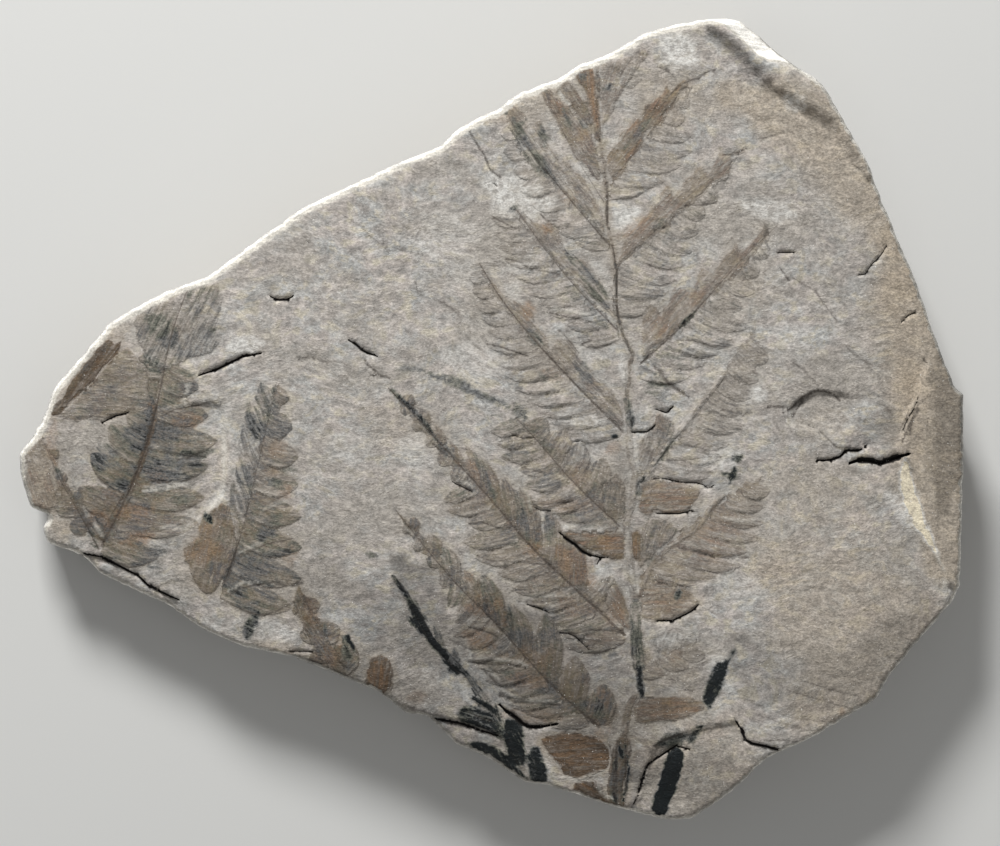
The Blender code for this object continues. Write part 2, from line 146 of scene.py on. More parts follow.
LEDGES = table(
    Ledge,
    (((34.5, 62.5), (36.5, 60.5), (39, 58.5), (41, 56.5), (43, 54.5), (45, 52.5), (47.5, 51),
      (49.5, 49.5), (54, 47), (60, 38.5), (67, 41), (57.5, 57), (46, 66.5), (33.5, 66.5)), 1.7, 2.0,
      (43, 58), 20),
    (((22, -62), (24, -60), (24.5, -57.5), (25, -55.5), (26, -52.5), (27, -51.5), (30.5, -50),
      (33.5, -49), (39, -48), (40, -50), (41, -51.5), (44, -52), (46, -53), (49.5, -67), (22, -67)), -0.6,
      0.5, (34, -56), 60),
    (((-69, -20), (-65.5, -21.5), (-62, -22), (-58.5, -24), (-56, -25.5), (-54.5, -27), (-52, -28),
      (-50, -29), (-46.5, -36), (-69, -31), (-74, -23)), -0.55, 0.5, (-60, -25), 60),
    (((-14.5, -45.5), (-10.5, -47), (-5, -48.2), (-2, -49), (1.5, -50), (4.5, -61.5), (-10, -56.5),
      (-16, -50)), -0.6, 0.5, (-6, -50), 60),
    (((-62, -19), (-62.5, -13.5), (-61, -4), (-58, 7.5), (-54.5, 12), (-49, 5), (-48, 2.5), (-43, 2.5),
      (-42, -4), (-42.5, -12), (-46.5, -16), (-49, -18), (-53, -17.5), (-58, -20)), -0.7, 0.7, (-43, -6),
      11),
    (((46, -0.5), (48, 2), (49.5, 3.5), (52, 4.5), (55.5, 4), (61, 3), (65, -2), (64.5, -5), (59.5, -5),
      (55.5, -5.5), (53.5, -3), (50.5, -1.5)), -0.8, 0.7, (52, 4), 5),
    (((65.5, -6), (67.5, -8.5), (68.5, -12.5), (69.5, -18), (70.5, -21), (73, -26.5), (78, -28), (78, 6),
      (69.5, 9.5), (68, 3.5), (66, 0.5), (65.5, -3)), 1.0, 0.7, (69, -8), 24),
)
SCARP_CREST = ((33, 63.5), (37, 62.2), (39, 60.5), (40.5, 59), (42, 57.5), (44, 56.5), (46, 56.3),
               (48, 55.7), (50.5, 55), (53, 53.5))
SCARP_AREA = SCARP_CREST + ((58, 62), (44, 68), (33, 68))
SCARP_FALL = 1.9

# %% Cracks, creases and pale edges
Line = namedtuple("Line", "line half amount")
CRACKS = table(
    Line,
    (((52, -6.5), (54, -6.5), (55.5, -6), (56.5, -5), (58.5, -5), (59.5, -4.5)), 0.18, 1.0),
    (((57, -7), (58.5, -6.5), (60, -6.5), (62, -7), (63.5, -6.5), (65, -6), (66.5, -5.5)), 0.3, 1.7),
    (((-46.5, 7), (-43.5, 8), (-40.5, 9.5), (-39.5, 10), (-36.5, 10.5)), 0.19, 1),
    (((-62, -0.5), (-60, 0.5), (-58, 1)), 0.12, 0.7),
    (((-35, 19.5), (-34, 19), (-32.5, 19), (-31.5, 19.5)), 0.16, 0.8),
    (((-22.5, 12.5), (-21.5, 12), (-20.5, 11), (-19.5, 10.5), (-18, 10)), 0.19, 0.8),
    (((1.5, -45.5), (2.5, -46.5), (4, -47.5), (5, -48.5), (6, -49), (8, -49), (10.5, -48.5)), 0.25, 1.2),
    (((11, -18), (12, -19), (13.5, -20), (14.5, -21), (15.5, -21.5), (17.5, -22)), 0.19, 1),
    (((17, -23), (17.5, -22), (18.5, -22)), 0.12, 0.6),
    (((6, -29.5), (7.5, -30), (9, -30.5)), 0.14, 0.6),
    (((11, -34), (12, -34), (13.5, -34.5), (14.5, -35.5), (15.5, -36.5)), 0.12, 0.5),
    (((39, -48), (40, -49.5), (40.5, -51), (41.5, -51.5), (44, -52), (45.5, -52.5), (46.5, -53.5)), 0.19,
      1),
    (((26.5, 1.5), (28, 1), (29, 2)), 0.17, 0.6),
    (((22.5, -2), (24, -2), (25, -2), (26, -1)), 0.15, 0.6),
    (((26, -9.5), (28, -9.5), (30, -10), (32.5, -10), (34, -10.5), (34.5, -11), (35.5, -10.5)), 0.11,
      0.5),
    (((26.5, -15), (28, -15), (30, -15), (32, -14.5)), 0.14, 0.6),
    (((26.5, -32), (28, -32), (29, -32), (30, -31.5), (32, -30.5), (33, -29.5)), 0.16, 0.7),
    (((46, 26.5), (47, 26.5), (48, 26.5)), 0.14, 0.6),
    (((-6, -10), (-4, -11), (-3, -11.5)), 0.14, 0.5),
    (((58.5, 23), (59.5, 23), (60.5, 24.5), (62, 26), (63, 27.5)), 0.11, 0.5),
    (((65.5, 15.5), (66.5, 16.5), (67.5, 17)), 0.11, 0.5),
    (((65.5, -2), (66.5, 0.5), (67.5, 2), (68, 3.5)), 0.11, 0.5),
    (((-65.5, -21.5), (-62.5, -22), (-60.5, -23), (-58.5, -24), (-56.5, -25), (-55, -26.5), (-53, -27.5),
      (-51, -28.5), (-49.5, -29)), 0.17, 1),
    (((-10.5, -47.5), (-8, -48), (-5, -48.5), (-2, -49.5), (1, -50.5)), 0.17, 0.8),
    (((31.5, -52.5), (29.5, -52), (28, -53), (26.5, -54), (25, -55), (24.5, -56.5), (24, -58),
      (23.5, -60), (22.5, -62)), 0.16, 0.8),
    (((3.5, -2.5), (5, -3), (6.5, -3)), 0.12, 0.4),
    (((13.5, -3.5), (14.5, -3.5)), 0.14, 0.4),
    (((0.5, 37.5), (1, 37)), 0.14, 0.4),
    (((-32, -37), (-30.5, -37), (-28.5, -37)), 0.12, 0.5),
    (((7, -14), (8, -14.5), (9.5, -14.5)), 0.12, 0.4),
)
CREASES = table(
    Line,
    (((-3.5, 46), (-2, 43.5), (-1, 42), (0, 39.5), (1.5, 38.5)), 0.18, 0.75),
    (((-30.5, 9.5), (-29, 10), (-27.5, 9.5), (-26, 9)), 0.19, 0.7),
    (((-23.5, 32.5), (-20.5, 30.5), (-19, 29), (-17, 27.5), (-16, 26)), 0.19, 0.45),
    (((-22.5, 29.5), (-20.5, 28), (-18.5, 26.5)), 0.18, 0.3),
    (((-17, 28), (-14.5, 27), (-10.5, 26)), 0.19, 0.45),
    (((-12, 22), (-11.5, 20), (-10.5, 19.5), (-7.5, 18.5), (-6, 17.5), (-4.5, 16)), 0.32, 0.5),
    (((-20, 9.5), (-19.5, 8.5), (-18, 7.5)), 0.16, 0.8),
    (((-19, 7), (-17.5, 7), (-16, 6.5)), 0.21, 0.85),
    (((46, 24), (47, 22.5), (47.5, 22)), 0.16, 0.7),
    (((48, 22.5), (49.5, 21.5), (51.5, 20.5), (52.5, 19), (55, 15.5)), 0.19, 0.55),
    (((56.5, 11.5), (58, 10), (60, 9)), 0.19, 0.5),
    (((48, 9), (49.5, 8), (52, 5.5)), 0.16, 0.5),
    (((46.5, 1), (48, 2), (49.5, 3.5), (51.5, 4.5), (53, 4.5), (54.5, 4), (55.5, 3)), 0.18, 0.85),
    (((48, 2), (48.5, 2.5), (50, 3.5), (51, 4)), 0.29, 0.65),
    (((48, 0.5), (49, 2), (49.5, 2.5)), 0.22, 0.7),
    (((65.5, -3.5), (66.5, -1), (67.5, 1), (68, 2.5)), 0.19, 0.85),
    (((66.5, -2.5), (67, -0.5), (68, 1.5)), 0.18, 0.75),
    (((65, -2), (66, 0), (66.5, 1.5)), 0.16, 0.6),
    (((30.5, -50), (29, -50.5), (27.5, -51), (26, -52)), 0.21, 0.85),
    (((40.5, -44.5), (44, -46), (48, -47.5), (53, -48)), 0.16, 0.4),
    (((41.5, -46.5), (45.5, -48), (49.5, -49)), 0.16, 0.45),
    (((47, -43), (52, -44.5), (57.5, -46)), 0.18, 0.5),
    (((49.5, -41.5), (54, -43), (58.5, -44)), 0.18, 0.5),
    (((46, -49), (52, -49.5), (56.5, -48.5)), 0.18, 0.45),
    (((40, -47), (43, -48.5), (47, -50)), 0.16, 0.4),
    (((56.5, 11.5), (58.5, 10), (60, 8.5), (62, 6.5)), 0.19, 0.4),
    (((50.5, -1), (52.5, -2), (54, -3.5), (55, -4.5), (57.5, -4.5), (58.5, -5)), 0.21, 0.6),
    (((44, 2), (45.5, 2), (47, 2)), 0.16, 0.8),
    (((40, 0.5), (40.5, 1), (41.5, 1)), 0.16, 0.6),
    (((52, -17), (52.5, -17)), 0.16, 0.5),
    (((59, -14), (61.5, -13)), 0.16, 0.5),
    (((43.5, -51), (47, -51), (50.5, -51.5)), 0.19, 0.6),
    (((57.5, 40.5), (59, 39.5), (60, 38)), 0.19, 0.6),
    (((43, 44.5), (44.5, 45), (46.5, 45.5)), 0.18, 0.6),
    (((26.5, 56), (28, 55.5), (29.5, 54)), 0.32, 0.6),
    (((35.5, 55.5), (34, 55), (33, 54), (32, 54), (30, 53), (28, 51)), 0.21, 0.7),
    (((37, 42), (38, 42), (39.5, 42.5), (40.5, 43)), 0.22, 0.8),
    (((43.5, 31), (44, 30), (43.5, 29)), 0.56, 0.5),
    (((26, 8.5), (27, 7.5), (28, 6), (30, 4.5), (31.5, 3.5)), 0.42, 0.75),
    (((33.5, 9.5), (36.5, 10.5)), 0.16, 0.3),
    (((26, 8), (28, 7.5), (32, 7)), 0.16, 0.5),
    (((29.5, 12.5), (32, 12.5), (34, 12), (36, 11.5)), 0.18, 0.55),
    (((40, 22), (42, 22.5)), 0.18, 0.5),
    (((36, 17.5), (38, 17.5), (40, 17.5)), 0.18, 0.5),
    (((31, 34), (33.5, 34), (36, 34.5)), 0.21, 0.6),
    (((26, 30), (27.5, 30.5), (28.5, 31)), 0.26, 0.8),
    (((30, 29), (32, 29.5), (33.5, 30)), 0.18, 0.4),
    (((25, 24.5), (27, 24), (30, 23.5)), 0.18, 0.5),
    (((36, 14.5), (38, 14.5), (40.5, 15)), 0.16, 0.35),
    (((30, -20.5), (32.5, -21), (34, -21.5), (35.5, -22)), 0.22, 0.8),
    (((39.5, -22), (41, -22)), 0.16, 0.7),
    (((34, -24), (36, -24.5), (38, -24.5), (39.5, -23.5)), 0.18, 0.6),
    (((36, -16), (39, -17), (42.5, -17)), 0.16, 0.45),
    (((25.5, -25), (28, -25.5), (30.5, -26.5)), 0.18, 0.6),
    (((33.5, 0.5), (35, 1), (37, 1.5)), 0.16, 0.4),
    (((30, -4), (33.5, -4.5), (37, -4)), 0.16, 0.45),
    (((28, -6.5), (31, -6.5), (34, -6), (36.5, -6)), 0.16, 0.55),
    (((29.5, -35), (32, -35), (33.5, -35)), 0.16, 0.45),
    (((29, -39.5), (30.5, -40), (32, -40.5)), 0.26, 0.5),
    (((30, -43), (32.5, -43)), 0.19, 0.5),
    (((-3.5, -16.5), (-1, -16.5), (0.5, -17), (2, -17.5), (3.5, -17)), 0.21, 0.7),
    (((-9.5, -3.5), (-8, -5), (-6.5, -6)), 0.22, 0.7),
    (((2, -6), (4, -7)), 0.18, 0.55),
    (((4.5, -7.5), (6.5, -8), (8.5, -8.5)), 0.18, 0.55),
    (((6.5, -13.5), (9.5, -13.5), (13, -13)), 0.18, 0.7),
    (((-0.5, 12), (1.5, 11.5), (4.5, 10.5), (6, 10)), 0.19, 0.7),
    (((0.5, 32), (2.5, 31), (4.5, 30)), 0.21, 0.6),
    (((2.5, 25.5), (4.5, 25), (6, 24), (8.5, 23.5), (11, 23)), 0.21, 0.6),
    (((8, 32.5), (9, 31.5), (10.5, 31.5)), 0.21, 0.65),
    (((9, 17), (11, 16.5), (13.5, 16), (16, 15.5)), 0.21, 0.7),
    (((14.5, 12), (16, 12.5)), 0.21, 0.75),
    (((11, 14), (12.5, 12.5), (14, 10.5)), 0.18, 0.55),
    (((-2.5, -21.5), (0, -22.5), (2, -22.5), (8, -23), (11, -23)), 0.18, 0.55),
    (((3, -27.5), (4.5, -27), (6.5, -27.5)), 0.18, 0.5),
    (((4.5, -29), (8, -29), (13.5, -28.5)), 0.21, 0.55),
    (((-3.5, -33), (-1.5, -33.5), (0, -34), (1, -34.5)), 0.21, 0.75),
    (((-6.5, -35), (-4.5, -36), (-2.5, -37)), 0.19, 0.5),
    (((-3.5, -38.5), (-1, -39), (3, -39), (5.5, -39.5)), 0.22, 0.8),
    (((-1, -40), (0, -41), (1, -42)), 0.24, 0.75),
    (((1.5, -44), (4, -45), (7, -45), (11, -45.5)), 0.24, 0.8),
    (((13.5, -34), (16, -33.5), (19, -33.5), (21, -34)), 0.18, 0.6),
    (((11, -34), (13.5, -34)), 0.18, 0.6),
    (((-14.5, -30.5), (-12, -32)), 0.19, 0.3),
    (((-66, 0), (-64, 0), (-62.5, 0), (-61.5, -1)), 0.19, 0.55),
    (((-63.5, 6), (-62, 6), (-59.5, 6.5)), 0.18, 0.5),
    (((-62.5, 4.5), (-60, 4), (-58, 3.5)), 0.18, 0.4),
    (((-52.5, 0.5), (-50.5, 1.5), (-48, 2), (-43.5, 3)), 0.19, 0.6),
    (((-55.5, -11.5), (-52, -11), (-49.5, -10.5)), 0.19, 0.6),
    (((-50.5, -14), (-46.5, -14)), 0.26, 0.6),
    (((-59, -18), (-56, -18), (-53.5, -18), (-51.5, -17.5)), 0.18, 0.6),
    (((-50, -6.5), (-47.5, -6), (-45.5, -6)), 0.26, 0.7),
    (((-36.5, -15), (-34.5, -14), (-33, -14), (-31, -13.5)), 0.19, 0.5),
    (((-40, -22), (-38, -21), (-36, -20), (-34, -19.5), (-31.5, -19)), 0.19, 0.6),
    (((-41.5, -28), (-40, -27), (-38, -26.5), (-34.5, -26), (-32.5, -26.5)), 0.19, 0.65),
    (((-42, -25.5), (-41, -23), (-40.5, -20.5)), 0.26, 0.8),
    (((-36.5, -31.5), (-34, -30.5), (-32, -29.5), (-30.5, -29)), 0.19, 0.6),
    (((-31.5, -26.5), (-30, -26)), 0.32, 0.8),
    (((-30.5, -38), (-28.5, -38.5), (-27, -39)), 0.22, 0.5),
    (((-14, -38), (-12, -38.5), (-10, -39.5)), 0.19, 0.35),
    (((18.5, 38), (18.5, 34.5), (18.5, 31)), 0.27, 0.75),
    (((19.5, 27), (20, 23.5), (20, 19.5)), 0.22, 0.7),
    (((20, 18), (20.5, 15)), 0.29, 0.8),
    (((20.5, 14.5), (21.5, 12.5), (22.5, 10)), 0.29, 0.5),
    (((21.5, 8), (21.5, 5), (21.5, 2.5)), 0.21, 0.45),
    (((24, 9), (24.5, 9.5), (25.5, 10.5)), 0.29, 0.75),
    (((16.5, 27), (16, 28)), 0.16, 0.3),
    (((8, -48), (11, -49), (17.5, -48), (21.5, -47.5)), 0.19, 0.35),
    (((19, -52), (19.5, -55), (19.5, -60)), 0.19, 0.6),
    (((20, -52.5), (20, -56), (20, -61.5)), 0.24, 0.8),
    (((21.5, -52), (21.5, -56.5), (21.5, -61.5)), 0.22, 0.7),
    (((24, -44), (26, -44.5), (29, -44.5), (32, -44.5)), 0.18, 0.45),
    (((11, -56), (14, -57), (17.5, -55.5)), 0.19, 0.4),
    (((8.5, -50.5), (11, -50), (16, -50)), 0.18, 0.4),
    (((69, 9.5), (69.5, 9)), 0.24, 0.8),
    (((69.5, 0), (69.5, -0.5)), 0.24, 0.6),
    (((61.5, 2.5), (63, 2), (64, 0.5)), 0.35, 0.45),
    (((20.5, 54.5), (21.5, 56), (22.5, 57.5), (24, 59)), 0.21, 0.5),
    (((23, 58), (24, 58), (25.5, 58)), 0.21, 0.5),
    (((21, 53), (22.5, 52.5), (24, 54)), 0.26, 0.5),
)
GLINTS = table(
    Line,
    (((10.5, 52.5), (11.5, 51), (12.5, 50)), 0.26, 0.9),
    (((4.5, 25), (7, 24.5), (6, 26.5)), 0.16, 0.2),
    (((9, 17.5), (11, 17.5), (13.5, 17), (16, 16.5)), 0.26, 0.6),
    (((-6, -10), (-4, -10), (-2.5, -11)), 0.24, 0.5),
    (((36.5, -15.5), (39, -16), (42.5, -16)), 0.26, 0.5),
    (((4.5, -28.5), (8.5, -28), (13.5, -28)), 0.24, 0.45),
    (((26.5, -14), (28, -14.5), (32, -14)), 0.22, 0.4),
    (((-3.5, -38), (0, -38), (4.5, -38.5), (6, -39.5)), 0.26, 0.55),
    (((1.5, -43), (4.5, -44.5), (11, -45)), 0.29, 0.5),
    (((-2, -39), (0, -40), (1.5, -41.5)), 0.24, 0.4),
    (((-56, -11), (-52, -10.5), (-49, -10)), 0.22, 0.5),
    (((-49, 5), (-48, 5.5), (-49, 3), (-48.5, 2)), 0.35, 0.5),
    (((-53, 1.5), (-48, 2.5), (-43, 3.5)), 0.22, 0.35),
    (((-43, 2.5), (-42.5, -0.5), (-42.5, -5.5), (-42.5, -10), (-43, -12), (-44.5, -14), (-46.5, -16)),
      0.4, 0.6),
    (((-53, -17.5), (-51, -17), (-49, -17.5), (-47, -17)), 0.32, 0.45),
    (((-63.5, -16.5), (-62.5, -18), (-62, -19)), 0.32, 0.6),
    (((-36.5, -14.5), (-34, -13.5), (-31, -12.5)), 0.24, 0.35),
    (((-40.5, -21.5), (-38.5, -20.5), (-36, -19.5)), 0.21, 0.4),
    (((-42, -27.5), (-39.5, -26), (-36.5, -26)), 0.24, 0.5),
    (((-36.5, -32.5), (-35, -34), (-33, -36)), 0.4, 0.3),
    (((20.5, 14.5), (20, 13), (21, 11.5)), 0.29, 0.4),
    (((21.5, -23.5), (23, -25.5), (23.5, -28)), 0.35, 0.45),
    (((22, -17.5), (21.5, -20), (22, -22)), 0.32, 0.4),
    (((11, -57), (14, -57.5), (18, -56)), 0.35, 0.6),
    (((17, -58.5), (18, -60), (19.5, -60.5)), 0.29, 0.7),
    (((19, -51.5), (20.5, -50), (21.5, -48.5)), 0.32, 0.4),
    (((33.5, -35), (36, -36), (37.5, -37)), 0.21, 0.3),
    (((35, -38), (36, -38), (38, -38)), 0.29, 0.45),
    (((43.5, -46), (45, -46.5)), 0.32, 0.6),
    (((44.5, 6), (45.5, 4.5), (46, 3)), 0.29, 0.5),
    (((40.5, 7), (42.5, 6.5), (44, 5)), 0.24, 0.45),
    (((-5, -1.5), (-3.5, -3), (-2, -5), (0, -8)), 0.21, 0.35),
    (((4, -10), (6, -12), (6.5, -15)), 0.22, 0.4),
    (((24, 10), (24.5, 11.5), (26, 12.5)), 0.21, 0.3),
    (((-26, 14.5), (-24, 13.5), (-22.5, 12.5)), 0.26, 0.4),
    (((70.5, -20.5), (72, -24), (73, -27.5)), 0.19, 0.9),
    (((-55.5, -11.5), (-51.5, -11), (-47.5, -10)), 0.24, 0.6),
    (((-30.5, 17.5), (-28.5, 16.5), (-27, 15.5)), 0.4, 0.35),
)
LINES = {"crack": CRACKS, "crease": CREASES, "glint": GLINTS}
print({name: len(lines) for name, lines in LINES.items()})

# %% [markdown]
# ## The layout of the fronds
# A pinna is one branch of the frond: an axis with leaflets on both sides. Each is written as the
# axis from its foot to its tip, and then the tips of the leaflets on the lower side and on the
# upper side, with the share of the axis that their feet stand on. Leaflets in between are not
# needed: one listed tip is one leaflet. Last come how brown the film is on the lower and on the
# upper side, how much black carbon is left in it, how strong its relief is, and how plain the
# groove of its axis is.

# %% Pinnae
Pinna = namedtuple("Pinna", "name axis lower lower_feet upper upper_feet brown carbon relief vein")
PINNAE = table(
    Pinna,
    ("right_1", ((19, 37.75), (23.75, 43.25), (28.25, 49), (33, 54)),
     (), (0, 1),
     ((25.5, 37), (28, 38), (30.5, 40.5), (32, 42.5), (32, 45), (31, 47.5), (31.5, 49.5)), (-2, 0.8),
     (0.75, 0.25), 0.1, 0.8, 0.25),
    ("right_2", ((19.5, 23.75), (26.25, 29.25), (31.75, 34.25), (40.5, 43)),
     (), (0, 1),
     ((26, 18), (28, 20), (29.5, 22), (31, 24.5), (32, 26.5), (33, 29.5), (34, 32), (36, 34.5),
       (38, 38.5)), (-5.5, 0.8),
     (0.5, 0.18), 0.12, 0.9, 0.35),
    ("right_3", ((23.75, 8.75), (30.25, 14.5), (35.25, 20.25), (40, 25.5), (45.75, 31)),
     (), (0, 1),
     ((32, 7), (34.5, 9), (36.5, 10.5), (39, 12), (41, 14.5), (40, 17.5), (42, 20), (42.5, 22.5),
       (44, 25.5)), (-0.8, 0.85),
     (0.42, 0.12), 0.12, 1.0, 0.7),
    ("right_4", ((24, -10), (27.75, -5), (32.5, 0.75), (37.25, 6.5), (42.25, 16)),
     (), (0, 1),
     ((33.5, -11.5), (35.5, -8.5), (37, -6), (38, -4), (40, -1.5), (40, 1), (41.5, 3.5), (42.5, 6),
       (44, 9)), (0.0, 0.86),
     (0.32, 0.22), 0.1, 0.9, 0.3),
    ("right_5", ((24, -25), (27.75, -20.25), (33.25, -15.75), (43.5, -8.75)),
     (), (0, 1),
     ((33, -26), (36, -25), (39.5, -23.5), (41, -21), (43, -19), (43.5, -16.5), (43.5, -14),
       (44.5, -11.5)), (0.0, 0.84),
     (0.85, 0.55), 0.08, 1.0, 0.3),
    ("right_6", ((22.75, -29), (24.5, -28.75), (27, -28.75), (29.75, -28.75), (33, -29.25)),
     ((28, -25.5), (31, -26.5)), (0.2, 0.6),
     ((27.5, -32), (31, -31)), (0.2, 0.6),
     (0.5, 0.42), 0.05, 0.6, 0.2),
    ("right_7", ((22.5, -39.75), (24.5, -38.25), (27, -37), (29.75, -36.25), (33.25, -35.75)),
     ((26, -34), (29.5, -33), (32.5, -34)), (0.2, 0.8),
     ((28, -40.5), (31.5, -39.5), (34, -38)), (0.1, 0.8),
     (0.12, 0.3), 0.05, 0.5, 0.2),
    ("right_8", ((21.75, -47.25), (24.5, -46.5), (27.75, -46), (31.75, -45.5), (34, -45)),
     ((26, -44), (30, -44)), (0.2, 0.7),
     ((26, -48), (31, -47.5)), (0.2, 0.7),
     (0.6, 0.5), 0.15, 0.6, 0.3),
    ("left_1", ((17.25, 44.25), (16.5, 46.5), (15.5, 49), (14.5, 51.25), (13.25, 53.5), (12.75, 55)),
     (), (0, 1),
     (), (0, 1),
     (0, 0), 0, 0.6, 0.3),
    ("left_2", ((18, 34.5), (12.5, 43.25), (9, 51.75)),
     (), (0, 1),
     (), (0, 1),
     (0, 0), 0, 0.7, 0.5),
    ("left_3", ((18.75, 27.75), (10.75, 37), (4.5, 44.75), (2.25, 49.5)),
     ((13, 28.5), (10.5, 30), (8, 31.5), (6.5, 34), (4.5, 36.5), (3.5, 39.5), (2, 42.5), (1.5, 45.5)),
       (0.0, 0.85),
     (), (0, 1),
     (0.24, 0), 0.1, 0.7, 0.7),
    ("left_4", ((20.25, 14), (11.5, 23), (3.75, 33.75)),
     ((13, 12.5), (12, 15), (9, 17), (7.5, 18.5), (5, 20.5), (3.5, 23), (2, 25.5), (1, 27.5),
       (0.5, 29.5), (0, 32)), (0.0, 0.9),
     (), (0, 1),
     (0.2, 0), 0.08, 0.9, 0.7),
    ("left_5", ((21, -2), (10.75, 8.25), (2.25, 18), (-1.75, 24.75)),
     ((11, -2.5), (9.5, -0.5), (7.5, 1), (5.5, 3), (3.5, 5), (2, 7), (0.5, 9), (-1, 12), (-0.5, 14),
       (-1.5, 16), (-2.5, 18), (-3, 20.5), (-3.5, 22.5)), (0.02, 0.94),
     (), (0, 1),
     (0.2, 0), 0.08, 1.0, 0.9),
    ("left_6", ((20.5, -17), (13, -10), (7.75, -3.75), (4, 0.25)),
     ((11, -18), (10.5, -15.5), (8, -14.5), (6.5, -13.5), (5.5, -10.5), (4.5, -8), (1.5, -6), (1, -4),
       (0, -2)), (0.03, 0.95),
     ((20, -8.5), (18, -6), (14.5, -3.5), (12, -1.5), (9, 0)), (0.1, 0.85),
     (0.48, 0.6), 0.22, 1.0, 0.8),
    ("left_7", ((21.25, -34.25), (13.25, -26.75), (6.25, -20.25), (1, -13.75), (-5, -7.25),
       (-10.75, -0.75), (-16.25, 5)),
     ((11.5, -36), (10.5, -34), (9, -32), (6, -29.5), (3.5, -27), (1, -24.5), (-2.5, -22), (-4.5, -19.5),
       (-3.5, -16.5), (-7, -14.5), (-7.5, -13), (-6, -10), (-8, -7.5), (-10, -4.5), (-12, -2),
       (-13.5, 0.5)), (0.0, 0.93),
     ((19.5, -25), (12, -18), (9, -14), (4.5, -10), (1.5, -8.5), (-2, -5), (-4, -4), (-7, -3),
       (-9, -0.5), (-11, 2), (-12.5, 4)), (0.13, 0.93),
     (0.64, 0.78), 0.22, 1.0, 1),
    ("left_8", ((17.25, -49), (10.25, -43), (5.25, -37.5), (0.75, -32.25), (-4.75, -27), (-9.5, -21.5),
       (-15, -14.5)),
     ((8, -48), (5, -46.5), (2.5, -45.5), (1, -43.5), (-1, -41.5), (-2, -39.5), (-4, -38.5),
       (-3.5, -36.5), (-6, -34.5), (-5.5, -32.5), (-6.5, -30), (-7.5, -27), (-9, -24), (-12, -21),
       (-14, -18)), (0.04, 0.93),
     ((18, -42), (13.5, -37.5), (8.5, -30.5), (3, -29), (-1.5, -24), (-4.5, -23.5), (-7, -20),
       (-9.5, -18), (-12, -15.5)), (0.02, 0.92),
     (0.62, 0.85), 0.28, 1.0, 0.9),
    ("left_10", ((19.25, -52.75), (17.25, -53), (15, -53.25), (11.75, -53), (8.25, -52)),
     ((16, -56.5), (12, -55.5)), (0.3, 0.7),
     ((15.5, -50), (11, -50)), (0.3, 0.75),
     (1.2, 1.1), 0.05, 0.6, 0.3),
    ("left_11", ((19.25, -61.75), (18, -60.5), (16, -59), (14.25, -57.75)),
     ((16, -60.5),), (0.4, 0.8),
     ((16.5, -57.5),), (0.5, 0.8),
     (1.3, 0.55), 0.05, 0.6, 0.3),
    ("frond_a", ((-62.25, -20.25), (-58.25, -12.75), (-55, -4.75), (-53, 3.25), (-51, 13.75),
       (-48.5, 20.25)),
     ((-64, -15.5), (-66, -11), (-64, -5.5), (-61, -1), (-58, 2), (-58, 5.5), (-57, 9)), (0.05, 0.72),
     ((-53, -22), (-46.5, -16.5), (-45.5, -12.5), (-45, -7.5), (-43.5, -3.5), (-45, 0.5), (-46.5, 5)),
       (0.02, 0.68),
     (0.9, 0.88), 0.42, 1.0, 1),
    ("frond_b", ((-62.75, -20.75), (-64.5, -17.5), (-66.5, -13.75), (-68.75, -10), (-70.25, -6.5),
       (-72, -2)),
     ((-67.5, -17), (-70, -13.5), (-72.5, -10), (-73, -7.5), (-73.5, -4.5)), (0.2, 0.9),
     ((-63.5, -15.5), (-65.5, -11.5), (-68, -8.5), (-69, -5)), (0.2, 0.8),
     (0.95, 1.05), 0.25, 0.6, 0.7),
    ("frond_c", ((-70.75, 0.75), (-68.75, 2.5), (-66.75, 4.5), (-64.5, 7.25), (-62.75, 10.25),
       (-60.75, 12.5)),
     (), (0, 1),
     (), (0, 1),
     (0, 0), 0, 0.9, 0.4),
    ("frond_d", ((-42.5, -26.25), (-39.5, -18), (-37, -7), (-35, 1.25), (-33.75, 6.75)),
     ((-42, -18), (-41.5, -13.5), (-41, -9.5), (-40, -5), (-39.5, -1), (-38.5, 3), (-36.5, 6)),
       (0.02, 0.85),
     ((-31.5, -30), (-30, -25.5), (-30, -20.5), (-30, -15.5), (-30.5, -10.5), (-30.5, -6), (-31.5, -1.5),
       (-32, 3)), (0.0, 0.92),
     (0.45, 0.78), 0.42, 1.0, 0.6),
    ("frond_e", ((-24, -40.75), (-25.75, -37.75), (-27.75, -34.25), (-29.25, -30.5), (-30.5, -26.5)),
     ((-29, -38), (-30.5, -34.5), (-31.5, -31)), (0.2, 0.8),
     ((-21.5, -36), (-24, -33), (-27, -29.5)), (0.1, 0.8),
     (1.1, 1.3), 0.3, 0.5, 0.4),
    ("frond_f", ((-17.75, -43.75), (-17.75, -41.5), (-17.75, -39.25), (-17.5, -37.5)),
     ((-20, -41.5), (-19.5, -39.5)), (0.2, 0.6),
     ((-15.5, -41.5), (-16, -39)), (0.2, 0.6),
     (1.2, 1.1), 0.15, 0.5, 0.3),
)
Band = namedtuple("Band", "area way brown carbon")
